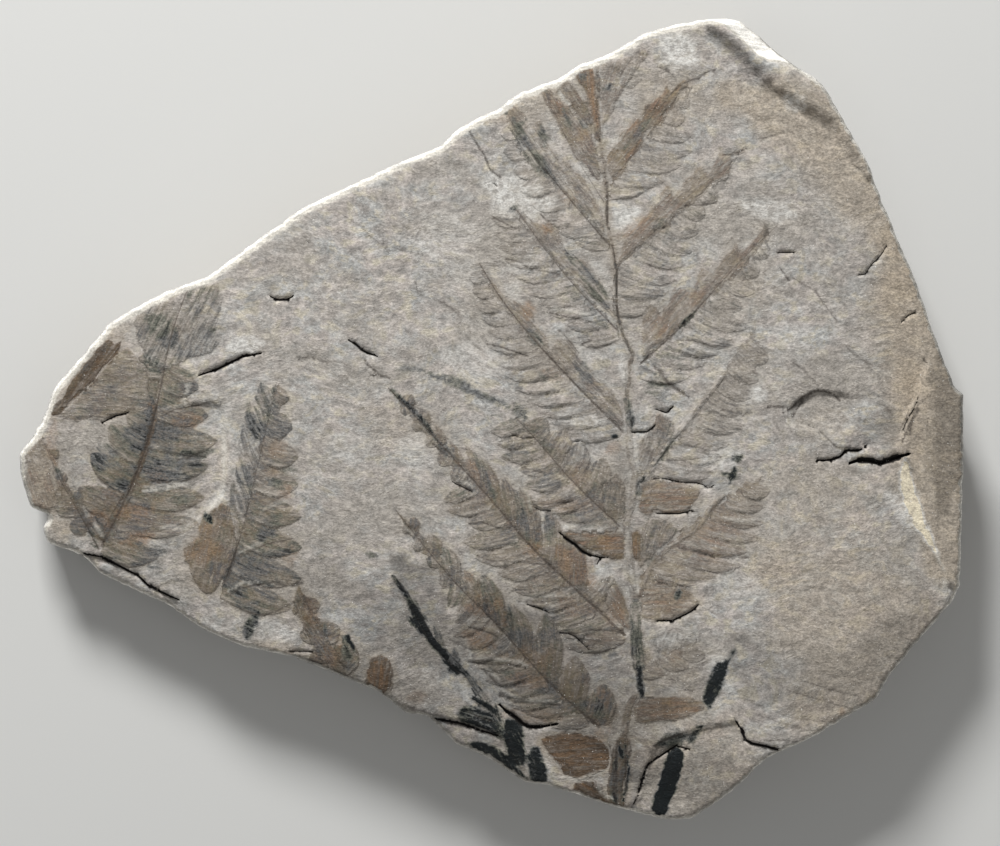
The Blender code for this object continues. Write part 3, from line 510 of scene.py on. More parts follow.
BANDS = table(
    Band,
    (((18.5, 39.5), (18.5, 42), (19, 43), (20, 44), (20.5, 45.5), (21.5, 46), (22.5, 47), (23.5, 48),
      (24, 47.5), (24, 48.5), (24.5, 50), (25.5, 50.5), (26, 50.5), (26.5, 51), (27.5, 52), (28, 53),
      (28.5, 52), (29.5, 53), (30, 53.5), (31, 54), (31.5, 53), (30, 52), (29.5, 50.5), (29, 49.5),
      (27.5, 48.5), (27.5, 47.5), (26.5, 46.5), (25, 46), (24, 44), (23.5, 42.5), (22, 41), (21, 39.5),
      (19.5, 38)), 52, 0.8, 0.0),
    (((20, 24.5), (21, 27.5), (21, 28.5), (22, 30), (23, 30.5), (24, 32), (25, 33), (25.5, 34),
      (26.5, 34.5), (27, 36), (28, 37.5), (28.5, 37), (29, 35.5), (30, 36.5), (31, 38), (32, 39),
      (32.5, 40), (33.5, 40.5), (34, 40), (34.5, 39), (35, 39.5), (35.5, 41), (36, 42), (36.5, 42.5),
      (37.5, 42), (39, 42.5), (40, 43), (40.5, 42.5), (39.5, 42), (38.5, 41.5), (38, 39.5), (38, 39),
      (36.5, 38.5), (35.5, 38), (34.5, 36.5), (34, 36), (32.5, 35), (31.5, 34), (30.5, 33.5),
      (29.5, 32.5), (28.5, 31), (27.5, 30), (26, 29.5), (24.5, 28), (23, 27), (22, 25.5)), 44, 0.52, 0.0),
    (((24, 10), (24, 13), (24, 15.5), (24.5, 17.5), (25.5, 18.5), (26.5, 17.5), (27, 16.5), (27.5, 18),
      (28, 17.5), (28.5, 19), (29, 21), (29.5, 22), (30, 21), (31, 20.5), (32, 20.5), (32.5, 22),
      (33.5, 24), (34.5, 23.5), (35.5, 23), (36, 24.5), (37.5, 26.5), (39, 28), (39.5, 27), (40.5, 27.5),
      (41.5, 28), (42.5, 30), (43.5, 31), (44, 30.5), (44, 29), (43, 27.5), (41.5, 26), (40.5, 24.5),
      (39, 23), (37, 21.5), (35.5, 20), (33.5, 18), (32, 16), (30, 14.5), (28, 12.5), (26, 11.5),
      (25, 10)), 48, 0.48, 0.05),
    (((23.5, -8), (23.5, -4.5), (24, -3), (25.5, -1.5), (26, 0.5), (27, 1), (28, 0.5), (29, -0.5),
      (29, -2.5), (28, -4.5), (26.5, -6.5), (25, -8.5), (24, -10)), 75, 0.45, 0.22),
    (((24, -10), (26, -9.5), (28, -10), (30, -10), (32, -10.5), (33.5, -11), (33, -12.5), (32, -14),
      (30, -15), (28, -15), (26.5, -14.5), (25, -15.5), (23.5, -14.5)), 2, 0.62, 0.0),
    (((23.5, -20), (24, -17), (25.5, -15.5), (27.5, -16), (29, -16.5), (30, -17.5), (29, -19),
      (27, -20.5), (25.5, -22), (24, -23.5), (23.5, -23.5)), 70, 0.5, 0.25),
    (((23.5, -26), (25.5, -25.5), (28, -26), (30, -26.5), (32, -27.5), (33, -29), (32, -30.5), (30, -31),
      (28, -32), (26, -32), (24, -31.5)), 0, 0.58, 0.0),
    (((22.5, -45.5), (24, -44.5), (26, -44), (29.5, -44), (32, -44), (34, -45), (34, -46), (32, -47),
      (29.5, -48), (27, -48), (24.5, -48.5), (23, -48)), 4, 0.7, 0.05),
    (((8, -51), (9, -50.5), (11, -50), (13.5, -50), (16, -50.5), (17.5, -51), (18.5, -52), (19, -53.5),
      (18.5, -55.5), (18, -56), (17, -56.5), (16, -57), (14.5, -57.5), (12.5, -57), (11.5, -56.5),
      (11, -55.5), (12, -55), (10.5, -54.5), (9.5, -53.5), (8.5, -52)), 2, 1.9, 0.05),
    (((13.5, -58), (15, -58), (16, -58), (17, -59), (18.5, -60), (19.5, -60.5), (18.5, -61), (17, -61),
      (16, -60.5), (14.5, -59.5), (13, -59)), -28, 2.4, 0.05),
    (((-69, 0.5), (-67.5, 2), (-65.5, 4), (-63.5, 6), (-61.5, 8.5), (-60, 10), (-58, 11.5), (-56.5, 10),
      (-55, 8.5), (-54.5, 6.5), (-54.5, 4.5), (-54, 2.5), (-55.5, 1.5), (-58, 1), (-60.5, 0),
      (-63.5, 0.5), (-66, -0.5)), -4, 0.6, 0.24),
    (((-70.5, 1.5), (-68.5, 3.5), (-67, 6), (-65, 8.5), (-63.5, 10.5), (-62, 12), (-61, 13), (-60, 12),
      (-59, 12.5), (-59.5, 10.5), (-60.5, 9.5), (-62, 8), (-63.5, 6), (-65, 4.5), (-67, 3), (-68.5, 1),
      (-70, 0.5)), 50, 1.7, 0.2),
    (((-57, 15.5), (-56, 17), (-54.5, 18), (-52, 19), (-49, 20.5), (-46, 21.5), (-43.5, 21.5),
      (-42.5, 19), (-43.5, 15.5), (-44.5, 13.5), (-43, 12.5), (-44.5, 10.5), (-46.5, 10), (-48.5, 9.5),
      (-50.5, 8.5), (-53, 8), (-54.5, 9), (-55.5, 11), (-56.5, 13)), 62, 0.25, 0.24),
    (((2, 50), (3, 50.5), (4.5, 49.5), (5.5, 48), (6, 46), (7, 47.5), (8, 47.5), (8.5, 46), (9, 44),
      (10.5, 42.5), (11, 41), (12, 42), (12.5, 41), (13.5, 39.5), (15, 38), (16, 36.5), (16.5, 35),
      (17.5, 33.5), (18, 31), (18.5, 28.5), (17, 30), (15.5, 32.5), (13.5, 34.5), (11.5, 36), (10, 38),
      (8, 39.5), (6, 41), (4.5, 42.5), (4, 44.5), (3, 46), (2.5, 48)), -54, 0.42, 0.13),
    (((8, 53), (9, 53), (10, 51.5), (11.5, 50), (12.5, 49.5), (13.5, 48), (15, 46.5), (16, 46),
      (16.5, 44), (17, 42), (17.5, 39.5), (17.5, 37.5), (16, 38.5), (15, 40), (13.5, 41.5), (12.5, 43),
      (12, 44.5), (11, 46), (10.5, 47.5), (9.5, 49), (8.5, 50.5)), -58, 0.62, 0.15),
    (((10.5, 54), (12, 54.5), (13, 53), (14, 52), (15, 50.5), (16, 48.5), (16.5, 46.5), (15.5, 46.5),
      (14.5, 47.5), (13.5, 48.5), (12.5, 50), (11.5, 51), (10.5, 52)), -56, 0.7, 0.2),
    (((13.5, 56), (15, 56.5), (16, 56), (16.5, 54), (17, 50.5), (17, 47.5), (17.5, 44), (16.5, 44.5),
      (16, 47.5), (15.5, 50), (15, 52), (14.5, 53), (13.5, 54)), -84, 0.9, 0.15),
    (((17.5, 56.5), (20, 57), (22.5, 58), (24.5, 59), (25.5, 58.5), (24.5, 57), (23, 55.5), (22, 53.5),
      (20.5, 51.5), (19.5, 49), (18, 46.5), (17.5, 44), (17.5, 49), (17, 53)), 70, 0.35, 0.05),
    (((3, 33.5), (4.5, 34), (5.5, 32.5), (7, 31.5), (8.5, 31), (9.5, 31), (11, 30), (11.5, 28),
      (12, 26.5), (13, 25.5), (14.5, 25.5), (15.5, 25), (16.5, 23.5), (17.5, 22), (18, 20.5), (18.5, 19),
      (19.5, 17), (20, 15.5), (19, 16.5), (17.5, 18), (16, 19.5), (14, 21.5), (12.5, 23), (11, 24.5),
      (9.5, 26), (8, 28), (6, 30), (4.5, 32)), -48, 0.4, 0.12),
    (((-2, 24.5), (-0.5, 23.5), (0.5, 22), (2, 20), (3.5, 19), (5, 18.5), (6.5, 17.5), (7, 15.5),
      (8, 14.5), (9, 13), (9.5, 11), (10.5, 13), (12, 13), (13, 12), (14, 10), (15, 8.5), (16, 8),
      (17, 6.5), (18, 6), (19.5, 4.5), (20.5, 2.5), (21, 0.5), (21, -1.5), (19, 0), (16.5, 2.5), (14, 5),
      (11, 8), (8, 11), (5, 14), (2.5, 17.5), (0, 21)), -46, 0.42, 0.12),
    (((-73, -2), (-72, -2), (-70.5, -5), (-69, -7.5), (-68.5, -10), (-69.5, -12), (-69, -14),
      (-70.5, -14.5), (-72, -15), (-73, -14.5), (-74, -12), (-75, -10), (-74, -7.5), (-74.5, -5)), -70,
      0.4, 0.0),
    (((-30.5, -26.5), (-29.5, -28), (-28.5, -30.5), (-27, -33), (-25, -36.5), (-23.5, -39.5),
      (-22.5, -41.5), (-24, -41), (-26, -39), (-28, -37), (-29.5, -34), (-30.5, -31.5), (-31.5, -29)),
      -62, 1.0, 0.3),
    (((-23.5, -34.5), (-22.5, -34), (-21.5, -36), (-21.5, -38), (-23, -38.5), (-24, -37)), -60, 0.6, 0.9),
    (((-19, -38), (-17.5, -37.5), (-16, -38.5), (-15.5, -40.5), (-16, -42.5), (-17, -44), (-19, -43.5),
      (-20, -42), (-19.5, -39.5)), 85, 1.2, 0.1),
    (((-43, -26), (-44, -27.5), (-45.5, -28), (-47.5, -26), (-48, -24), (-49, -22.5), (-49, -21),
      (-48, -19.5), (-46.5, -19), (-46.5, -17), (-46, -15), (-44.5, -14), (-43, -13.5), (-41.5, -14),
      (-41, -16.5), (-40.5, -19), (-41, -22), (-42, -24.5)), 75, 0.8, 0.25),
    (((11.5, -18), (13.5, -18), (16, -18), (18, -18), (21, -18), (21.5, -20), (21, -22), (20, -22.5),
      (18.5, -22), (16.5, -21), (15, -20.5), (13.5, -19.5), (12, -18.5)), 0, 0.95, 0.0),
    (((18, -10), (19.5, -10), (21, -10), (21.5, -12), (21.5, -14), (21, -16), (19.5, -16), (18.5, -14.5),
      (17.5, -13)), 80, 0.6, 0.3),
    (((18, -29), (18.5, -27.5), (19.5, -26), (20.5, -26.5), (21.5, -28.5), (22, -31.5), (22.5, -33.5),
      (21, -33), (19.5, -31.5)), -62, 0.7, 0.08),
    (((15, -34), (17.5, -33.5), (20, -34), (22, -34.5), (21, -36), (19, -36), (16.5, -36), (15, -35)), 0,
      0.5, 0.1),
    (((22.5, -18), (23.5, -17.5), (24, -19), (24, -21), (23.5, -22.5), (22.5, -22), (22, -20)), 88, 1.0,
      0.0),
)

# %% [markdown]
# Some pieces don't come in rows: the blades of the black frond at the lower left, and loose dark
# leaflets. They are written one by one, as a foot, a tip and half a width. The frond's main stem and
# other bare axes are ribbons, with a line and half a width.

# %% Single blades and ribbons
Blade = namedtuple("Blade", "foot tip half brown carbon")
BLADES = table(
    Blade,
    ((-2, -44), (-4, -40), 0.6, 0.2, 0.75), ((0, -46), (-3.5, -44), 0.45, 0.2, 0.9),
    ((1, -47.5), (-5, -45.5), 0.8, 0.2, 0.75), ((2.5, -50.5), (-2.5, -48), 0.7, 0.2, 0.75),
    ((2, -50), (0.5, -45), 0.7, 0.2, 0.7), ((-7.5, -37), (-9, -32.5), 0.7, 0.2, 0.6),
    ((-5, -39.5), (-6, -36), 0.6, 0.2, 0.55), ((14, -46.5), (12.5, -39), 1.5, 0.9, 0.65),
    ((9.5, -43), (8.5, -36), 1, 0.8, 0.5), ((4.5, -36.5), (2.5, -30), 1.1, 0.8, 0.5),
    ((-1, -31), (-2, -25), 0.9, 0.8, 0.45),
)
Ribbon = namedtuple("Ribbon", "line half brown carbon rise")
RIBBONS = table(
    Ribbon,
    (((17, 56.5), (17, 50.5), (17.5, 44), (18, 40), (18.5, 34.5), (18.5, 31.5)), 0.22, 1.2, 0.35, -0.1),
    (((18.5, 31.5), (19.5, 26.5), (20, 23.5), (20, 18.5), (20.5, 15.5)), 0.25, 1.2, 0.45, -0.12),
    (((20.5, 15.5), (21, 13.5), (22.5, 10.5)), 0.45, 0.9, 0.55, 0.05),
    (((22.5, 10), (22, 8.5), (22, 6), (21.5, 3)), 0.35, 0.7, 0.25, 0.12),
    (((21.5, 3), (22, -1.5)), 0.5, 0.3, 0.65, 0.1),
    (((22, -1.5), (22, -4), (22.5, -7), (23, -8.5), (22.5, -13.5)), 0.6, 0.28, 0.05, 0.1),
    (((22.5, -13.5), (21.5, -16.5), (22, -20.5), (22.5, -25.5), (23, -29.5)), 0.75, 0.25, 0.1, 0.08),
    (((23, -29.5), (23, -32.5), (23.5, -39)), 1.15, 0.3, 0.6, 0.1),
    (((23.5, -39), (24, -44)), 0.5, 0.2, 1, 0.1),
    (((23, -44), (22, -45.5), (21.5, -48), (21, -52)), 0.7, 0.7, 0.15, 0.08),
    (((21, -51.5), (20.5, -55), (20, -58), (20, -62.5)), 1.6, 2, 0.32, 0.12),
    (((-52.5, 6.5), (-53, 4), (-53.5, 2)), 0.5, 0.5, 0, 0.05),
    (((-53.5, 2), (-54, -1.5), (-55, -4.5), (-56, -7.5), (-57, -10), (-58, -12)), 0.6, 2, 0.2, 0.08),
    (((-58, -12), (-59, -14), (-60.5, -16.5), (-62, -19)), 0.85, 1.5, 0.35, 0.08),
    (((-15.5, -25), (-13.5, -28), (-11.5, -31), (-9.5, -35)), 0.45, 0.2, 1, 0.05),
    (((-9.5, -35), (-6.5, -38), (-3.5, -41), (-0.5, -45)), 0.75, 0.3, 0.62, 0.1),
    (((-0.5, -45), (1.5, -49), (4, -53.5), (6, -57.5)), 0.4, 0.25, 0.3, 0.2),
    (((23.5, -28), (24.5, -25.5), (26, -22.5), (28, -20.5), (32, -18), (33.5, -16.5), (35, -14),
      (37, -12)), 0.5, 0.6, 0, 0.24),
    (((24.5, -9.5), (26, -7), (27.5, -5), (29, -3), (31, -1), (33, 2), (35, 4.5), (37, 7)), 0.55, 0.2, 0,
      0.3),
)

# %% Leaflets from the layout
Leaflet = namedtuple("Leaflet", "foot tip half bow brown carbon relief seed sharp")
FUSED = 1.2  # neighbours overlap by this much
LEAF_BOW = -0.06  # how far a leaflet bends, as a share of its length
FADE = 0.6  # how much of the foot's brown is left at the tip
JOINED = 0.45  # neighbours are joined up to this share of their length
MIDDLE = 0.55  # the share of a leaflet's length where its neighbours' gap is measured
LEAST_HALF, MOST_HALF, STOUTEST = 0.6, 2.4, 0.55  # in millimetres, and as a share of its length
LONE_GAP = 2.0  # stands for the gap where a leaflet has no neighbour
LIGHT_WAY = np.array((-0.3, 0.954))  # leaflets stand proud on the side away from here


def feet_of(axis, span, count):
    """Stand the feet of one side's leaflets evenly on a stretch of the axis.

    A start below zero is how far, in millimetres, the first foot stands down the main stem.
    """
    corners = np.array(axis, dtype=float)
    runs = np.linalg.norm(np.diff(corners, axis=0), axis=1)
    reached = np.concatenate(([0.0], np.cumsum(runs))) / runs.sum()
    start = span[0]
    if start < 0.0:
        corners = np.vstack((corners[0] + (0.0, start), corners))
        start /= runs.sum()
        reached = np.concatenate(([start], reached))
    shares = np.linspace(start, span[1], count)
    return np.stack([np.interp(shares, reached, corners[:, i]) for i in (0, 1)], axis=1)


def side_leaflets(pinna, tips, span, brown_film):
    """Make one side's leaflets, each half as wide as the gap between its neighbours."""
    tips = np.array(tips, dtype=float)
    feet = feet_of(pinna.axis, span, len(tips))
    middles = feet * (1.0 - MIDDLE) + tips * MIDDLE
    leaflets = []
    for i, (foot, tip) in enumerate(zip(feet, tips)):
        run = (tip - foot) / np.linalg.norm(tip - foot)
        side = np.array((-run[1], run[0]))
        near = [abs((middles[j] - middles[i]) @ side) for j in (i - 1, i + 1) if 0 <= j < len(tips)]
        length = np.linalg.norm(tip - foot)
        widest = max(LEAST_HALF, min(MOST_HALF, STOUTEST * length))
        half = float(np.clip(0.5 * FUSED * np.mean(near or [LONE_GAP]), LEAST_HALF, widest))
        outward = np.array(pinna.axis[-1], dtype=float) - pinna.axis[0]
        outward /= np.linalg.norm(outward)
        bow = LEAF_BOW * math.copysign(length, side @ outward)
        sharp = 0.5 + 0.5 * soft_step((abs(run @ outward) - 0.55) / 0.4)
        seed = (foot[0] * 12.9898 + tip[1] * 78.233) % 1.0
        brown = brown_film * (0.8 + 0.4 * seed)
        carbon = min(0.6, pinna.carbon * (0.5 + ((seed * 5.0) % 1.0)))
        relief = pinna.relief * (0.7 + 0.6 * ((seed * 7.0) % 1.0))
        leaflets.append(Leaflet(foot, tip, half, bow, (brown, brown * FADE), carbon,
                                relief, seed, sharp))
    return leaflets


PINNAE = [pinna._replace(axis=rounded(pinna.axis)) for pinna in PINNAE]
leaflets = []
webs = []
for pinna in PINNAE:
    for tips, span, brown in zip((pinna.lower, pinna.upper), (pinna.lower_feet, pinna.upper_feet),
                                 pinna.brown):
        if not tips:
            continue
        side = side_leaflets(pinna, tips, span, brown)
        inner = [leaf.foot + JOINED * (leaf.tip - leaf.foot) for leaf in side]
        inner.append(np.array(pinna.axis[-1], dtype=float))
        webs.append(([leaf.foot for leaf in side], inner))
        leaflets += side
for blade in BLADES:
    foot, tip = (np.array(place, dtype=float) for place in (blade.foot, blade.tip))
    leaflets.append(Leaflet(foot, tip, blade.half, 0.0, (blade.brown, blade.brown), blade.carbon,
                            0.6, (foot[0] * 3.7) % 1.0, 0.5))
print(len(leaflets), "leaflets on", len(PINNAE), "pinnae")

# %% [markdown]
# ## How far each point is from everything
# All of the stone's relief and colour comes from a few distances: to the slab's edge, to a crack,
# to the outline of the nearest leaflet. They are worked out for all points at once with numpy, and
# each only inside the box that it can reach, which keeps this quick.

# %% Distances
def near_box(points, corners, reach):
    """Pick out the points inside the box round some corners, widened by a reach."""
    near = (points > corners.min(axis=0) - reach) & (points < corners.max(axis=0) + reach)
    return np.flatnonzero(near.all(axis=1))


def distance_to_line(points, line, reach=None):
    """Return each point's distance to a line, and how far along the line its nearest spot is."""
    corners = np.array(line, dtype=float)
    nearest = np.full(len(points), np.inf)
    share = np.zeros(len(points))
    picked = np.arange(len(points))
    if reach is not None:
        picked = near_box(points, corners, reach)
    spots = points[picked]
    for i, (start, end) in enumerate(zip(corners[:-1], corners[1:])):
        run = end - start
        t = np.clip((spots - start) @ run / (run @ run), 0.0, 1.0)
        gap = np.linalg.norm(spots - start - t[:, None] * run, axis=1)
        closer = gap < nearest[picked]
        nearest[picked[closer]] = gap[closer]
        share[picked[closer]] = (i + t[closer]) / (len(corners) - 1)
    return nearest, share


def inside(points, area):
    """Tell which points lie inside a closed outline."""
    corners = np.array(area, dtype=float)
    found = np.zeros(len(points), dtype=bool)
    for (x0, y0), (x1, y1) in zip(corners, np.roll(corners, -1, axis=0)):
        if y0 != y1:
            spans = (points[:, 1] > y0) != (points[:, 1] > y1)
            found ^= spans & (points[:, 0] < x0 + (points[:, 1] - y0) * (x1 - x0) / (y1 - y0))
    return found


def depth_inside(points, area, reach=None):
    """Return how deep each point lies inside an outline; outside it the depth is negative."""
    closed = np.vstack((area, area[:1]))
    gap, _ = distance_to_line(points, closed, reach)
    return np.where(inside(points, area), gap, -gap)


def outline(share, sharp):
    """Half width of a leaflet from foot to tip, as a share of its widest: blunt or pointed."""
    past = np.clip((share - 0.5) / 0.5, 0.0, 1.0)
    blunt = (1.0 - past ** 2.4) ** 0.6
    pointed = 1.0 - past ** 1.3
    return blunt + (pointed - blunt) * sharp


BLADE_RISE = 0.3  # height of a leaflet's proud edge, in millimetres
FAR = 3.0  # distances to a leaflet or an axis count no farther than this


class FernFields:
    """What the pressed fern does at each point of the face."""

    def __init__(self, points):
        count = len(points)
        self.depth = np.full(count, -FAR)
        self.second = np.full(count, -FAR)
        self.leaf = np.zeros((count, 3))
        self.brown = np.zeros(count)
        self.carbon = np.zeros(count)
        self.height = np.zeros(count)
        self.under = np.zeros(count)
        self.stem = np.full(count, FAR)
        for leaflet in leaflets:
            self.lay(points, leaflet)
        self.edge = 0.5 * (self.depth - self.second)
        for feet, inner in webs:
            self.join(points, feet, inner)
        self.edge = np.minimum(self.edge, self.depth)
        self.height *= soft_step(self.edge / 0.25)
        for band in BANDS:
            self.lay_band(points, band)
        for ribbon in RIBBONS:
            self.lay_ribbon(points, ribbon)
        for pinna in PINNAE:
            gap, share = distance_to_line(points, pinna.axis, FAR)
            self.stem = np.minimum(self.stem, gap + 0.12 * share + 0.25 * (1.0 - pinna.vein))

    def lay(self, points, leaflet):
        run = leaflet.tip - leaflet.foot
        length = np.linalg.norm(run)
        picked = near_box(points, np.stack((leaflet.foot, leaflet.tip)), 2.0 + leaflet.half)
        offset = points[picked] - leaflet.foot
        share = offset @ run / length ** 2
        across = (offset[:, 1] * run[0] - offset[:, 0] * run[1]) / length
        kept = np.clip(share, 0.0, 1.0)
        across -= leaflet.bow * 4.0 * kept * (1.0 - kept)
        half = leaflet.half * outline(kept, leaflet.sharp)
        past = (share - kept) * length
        depth = np.where(past == 0.0, half - np.abs(across), -np.hypot(past, np.abs(across)))
        best = self.depth[picked]
        self.second[picked] = np.maximum(self.second[picked], np.minimum(best, depth))
        wins = depth > best
        picked, share, across, half, depth = (a[wins] for a in (picked, kept, across, half, depth))
        self.depth[picked] = depth
        seeds = np.full(len(share), leaflet.seed)
        self.leaf[picked] = np.column_stack((share * length, across, seeds))
        self.brown[picked] = leaflet.brown[0] + (leaflet.brown[1] - leaflet.brown[0]) * share
        self.carbon[picked] = leaflet.carbon
        lee = -(np.array((-run[1], run[0])) @ LIGHT_WAY) / length
        off_middle = np.clip(across / np.maximum(half, 0.5 * leaflet.half), -1.0, 1.0)
        tilt = 0.5 + 0.5 * lee * off_middle
        crown = 0.35 * (1.0 - off_middle ** 2) + abs(lee) * tilt
        fading = soft_step((1.0 - share) / 0.5)
        # under is how far a point lies on a leaflet's proud side, away from the light; the finish paints
        # a highlight on that side and a shadow line along its margin.
        self.under[picked] = lee * off_middle * (0.15 + 0.85 * fading)
        self.height[picked] = leaflet.relief * BLADE_RISE * crown * soft_step(share / 0.4) * fading

    def join(self, points, feet, inner):
        """Join one side's leaflets into one film, up to a line across them."""
        area = np.array(feet + inner[::-1])
        gap, _ = distance_to_line(points, inner, 8.0)
        joined = inside(points, area) & np.isfinite(gap)
        self.depth[joined] = np.maximum(self.depth[joined], gap[joined])

    def lay_band(self, points, band):
        picked = near_box(points, np.array(band.area), 1.5)
        spots = points[picked]
        depth = depth_inside(spots, band.area)
        depth += 0.28 * ripple(spots, 1.5, 33.0) + 0.15 * ripple(spots, 0.6, 34.0)
        wins = depth > np.minimum(self.depth[picked], 0.0)
        picked, spots, depth = picked[wins], spots[wins], depth[wins]
        turn = math.radians(band.way)
        self.depth[picked] = depth
        self.edge[picked] = depth
        self.leaf[picked] = np.column_stack((spots @ (math.cos(turn), math.sin(turn)),
                                             spots @ (-math.sin(turn), math.cos(turn)),
                                             np.full(len(picked), 0.3)))
        self.brown[picked] = band.brown * (1.0 + 0.45 * ripple(spots, 3.0, 35.0))
        self.carbon[picked] = band.carbon * (1.0 + 0.9 * ripple(spots, 2.2, 36.0))
        self.under[picked] = 0.2
        self.height[picked] = 0.1 * soft_step(depth / 0.5)

    def lay_ribbon(self, points, ribbon):
        gap, share = distance_to_line(points, ribbon.line, ribbon.half + 1.0)
        picked = np.flatnonzero(np.isfinite(gap))
        spots, gap, share = points[picked], gap[picked], share[picked]
        depth = ribbon.half * (0.85 + 0.3 * ripple(spots, 2.0, 31.0)) - gap
        wins = (depth > 0.0) | (depth > self.depth[picked])
        picked, gap, share, depth = picked[wins], gap[wins], share[wins], depth[wins]
        length = np.linalg.norm(np.diff(np.array(ribbon.line, dtype=float), axis=0), axis=1).sum()
        self.depth[picked] = depth
        self.leaf[picked] = np.column_stack((share * length, gap, np.full(len(gap), 0.5)))
        self.brown[picked] = ribbon.brown
        self.carbon[picked] = ribbon.carbon
        self.edge[picked] = depth
        self.under[picked] = 0.3
        self.height[picked] = ribbon.rise * soft_step(depth / 0.4)


# %% [markdown]
# ## Points of the face
# The face is a height map on a net of triangles. Rows of points run along what has to be crisp,
# such as a leaflet's margin or a crack's lips, and a loose net fills the rest: fine under the
# fronds and coarser on bare stone. That spends the triangles where the eye looks.

# %% Rows of points along the features
FERN_PITCH = 0.37
STONE_PITCH = 0.56
LINE_PITCH = 0.4
ROW_GAP = 0.2  # the filling comes no closer than this to a row of points
ROW_SQUARE = 0.24  # two points of the rows don't share a square of this size
LEDGE_SIDE = 0.3  # a ledge has a row of points on each side, this far from its line
ROW_MARGIN, NET_MARGIN = 0.3, 0.35  # rows and filling end this far from the slab's edge
FERN_SKIRT = 0.5  # the fine net reaches this far past the leaflets
STIR = 0.22  # how far a point of the net is stirred, as a share of its pitch


def leaflet_margin(leaflet):
    """Points along the margin of one leaflet."""
    run = leaflet.tip - leaflet.foot
    length = np.linalg.norm(run)
    side = np.array((-run[1], run[0])) / length
    shares = 1.0 - np.linspace(0.0, 0.8, max(4, int(0.8 * length / LINE_PITCH))) ** 1.3
    sweep = leaflet.bow * 4.0 * shares * (1.0 - shares)
    wide = leaflet.half * np.minimum(outline(shares, leaflet.sharp), 1.0 / FUSED)
    middle = leaflet.foot + shares[:, None] * run
    return np.vstack([middle + (sweep + turn * wide)[:, None] * side for turn in (-1.0, 1.0)])


def thin_out(points, gap):
    """Keep one point in each small square, so that rows which cross don't crowd."""
    squares = np.floor(points / gap).astype(int)
    _, first = np.unique(squares, axis=0, return_index=True)
    return points[np.sort(first)]


rows = []
for ledge in LEDGES:
    places, ways = along(ledge.area + ledge.area[:1], LINE_PITCH)
    rows += [places + shift * left_of(ways) for shift in (LEDGE_SIDE, -LEDGE_SIDE)]
for line in CRACKS:
    places, ways = along(line.line, LINE_PITCH)
    rows += [places + shift * left_of(ways) for shift in (0.0, line.half, -line.half)]
for line in CREASES:
    rows.append(along(line.line, LINE_PITCH)[0])
for pinna in PINNAE:
    rows.append(along(pinna.axis, LINE_PITCH)[0])
rows += [leaflet_margin(leaflet) for leaflet in leaflets]
rows += [along(band.area + band.area[:1], LINE_PITCH)[0] for band in BANDS]
for ribbon in RIBBONS:
    places, ways = along(ribbon.line, LINE_PITCH)
    rows += [places + shift * left_of(ways) for shift in (ribbon.half, -ribbon.half)]
rows = thin_out(np.vstack(rows), ROW_SQUARE)
rows = rows[depth_inside(rows, ring) > ROW_MARGIN]
print(len(rows), "points in rows")

# %% Filling between the rows
def loose_net(pitch, seed):
    """A triangular net of points over the slab, each one stirred a little."""
    xs = np.arange(low[0] / MM, high[0] / MM, pitch)
    ys = np.arange(low[1] / MM, high[1] / MM, pitch * math.sqrt(0.75))
    x, y = np.meshgrid(xs, ys)
    x = x + 0.5 * pitch * (np.arange(len(ys)) % 2)[:, None]
    stir = np.random.default_rng(seed).uniform(-STIR, STIR, (x.size, 2)) * pitch
    return np.column_stack((x.ravel(), y.ravel())) + stir


def clear_of_rows(points, tree):
    """Drop the filling points that come too close to a row."""
    keep = [tree.find((x, y, 0.0))[2] > ROW_GAP for x, y in points.tolist()]
    return points[np.array(keep)]


tree = kdtree.KDTree(len(rows) + len(ring))
for i, (x, y) in enumerate(np.vstack((rows, ring)).tolist()):
    tree.insert((x, y, 0.0), i)
tree.balance()
fine = loose_net(FERN_PITCH, 1)
coarse = loose_net(STONE_PITCH, 2)
fine = fine[FernFields(fine).depth > -FERN_SKIRT]
coarse = coarse[FernFields(coarse).depth <= -FERN_SKIRT - 0.3 * STONE_PITCH]
filling = np.vstack((fine, coarse))
filling = filling[depth_inside(filling, ring) > NET_MARGIN]
filling = clear_of_rows(filling, tree)
face_points = np.vstack((ring, rows, filling))
print(len(fine), "fine and", len(coarse), "coarse,", len(face_points), "points in the face")

# %% Triangles of the face
flat = [Vector(place) for place in face_points.tolist()]
loop = list(range(len(ring)))
edges = [(i, (i + 1) % len(ring)) for i in loop]
verts, _, triangles = delaunay_2d_cdt(flat, edges, [loop], 1, 1e-5)[:3]
face_points = np.array([tuple(v) for v in verts])
print(len(triangles), "triangles in the face")

# %% [markdown]
# ## Relief of the face
# The bedding plane itself swells a little, thins to the left and rounds over on the right. On it
# come the ledges, the torn grain of the shale in short level streaks, the leaflets as thin raised
# scales, and the cracks. The rim is chipped off at a slant, widest along the upper left edge.

# %% Heights
RIM_WIDTH, LONG_RIM_WIDTH, RIM_DROP = 0.5, 1.0, 0.95
LONG_RIM_WAY = np.array((-0.6, 0.8))
DROOP, DROOP_LENGTH = 1.9, 24.0
DROOP_FROM, DROOP_WAY = np.array((-72.0, -20.0)), np.array((0.415, 0.91))
GRAIN = ((0.16, 3.4, 5.0, 1.5), (0.08, 1.5, 6.0, 1.7), (0.03, 0.8, 7.0, 1.4))  # height and waves
SMOOTHED = 0.65  # how much of the grain the fern has smoothed away
CREASE_DEPTH, GLINT_RISE = 0.16, 0.12
AXIS_DEPTH, AXIS_HALF = 0.22, 0.35
LOWEST_FACE = 8.0


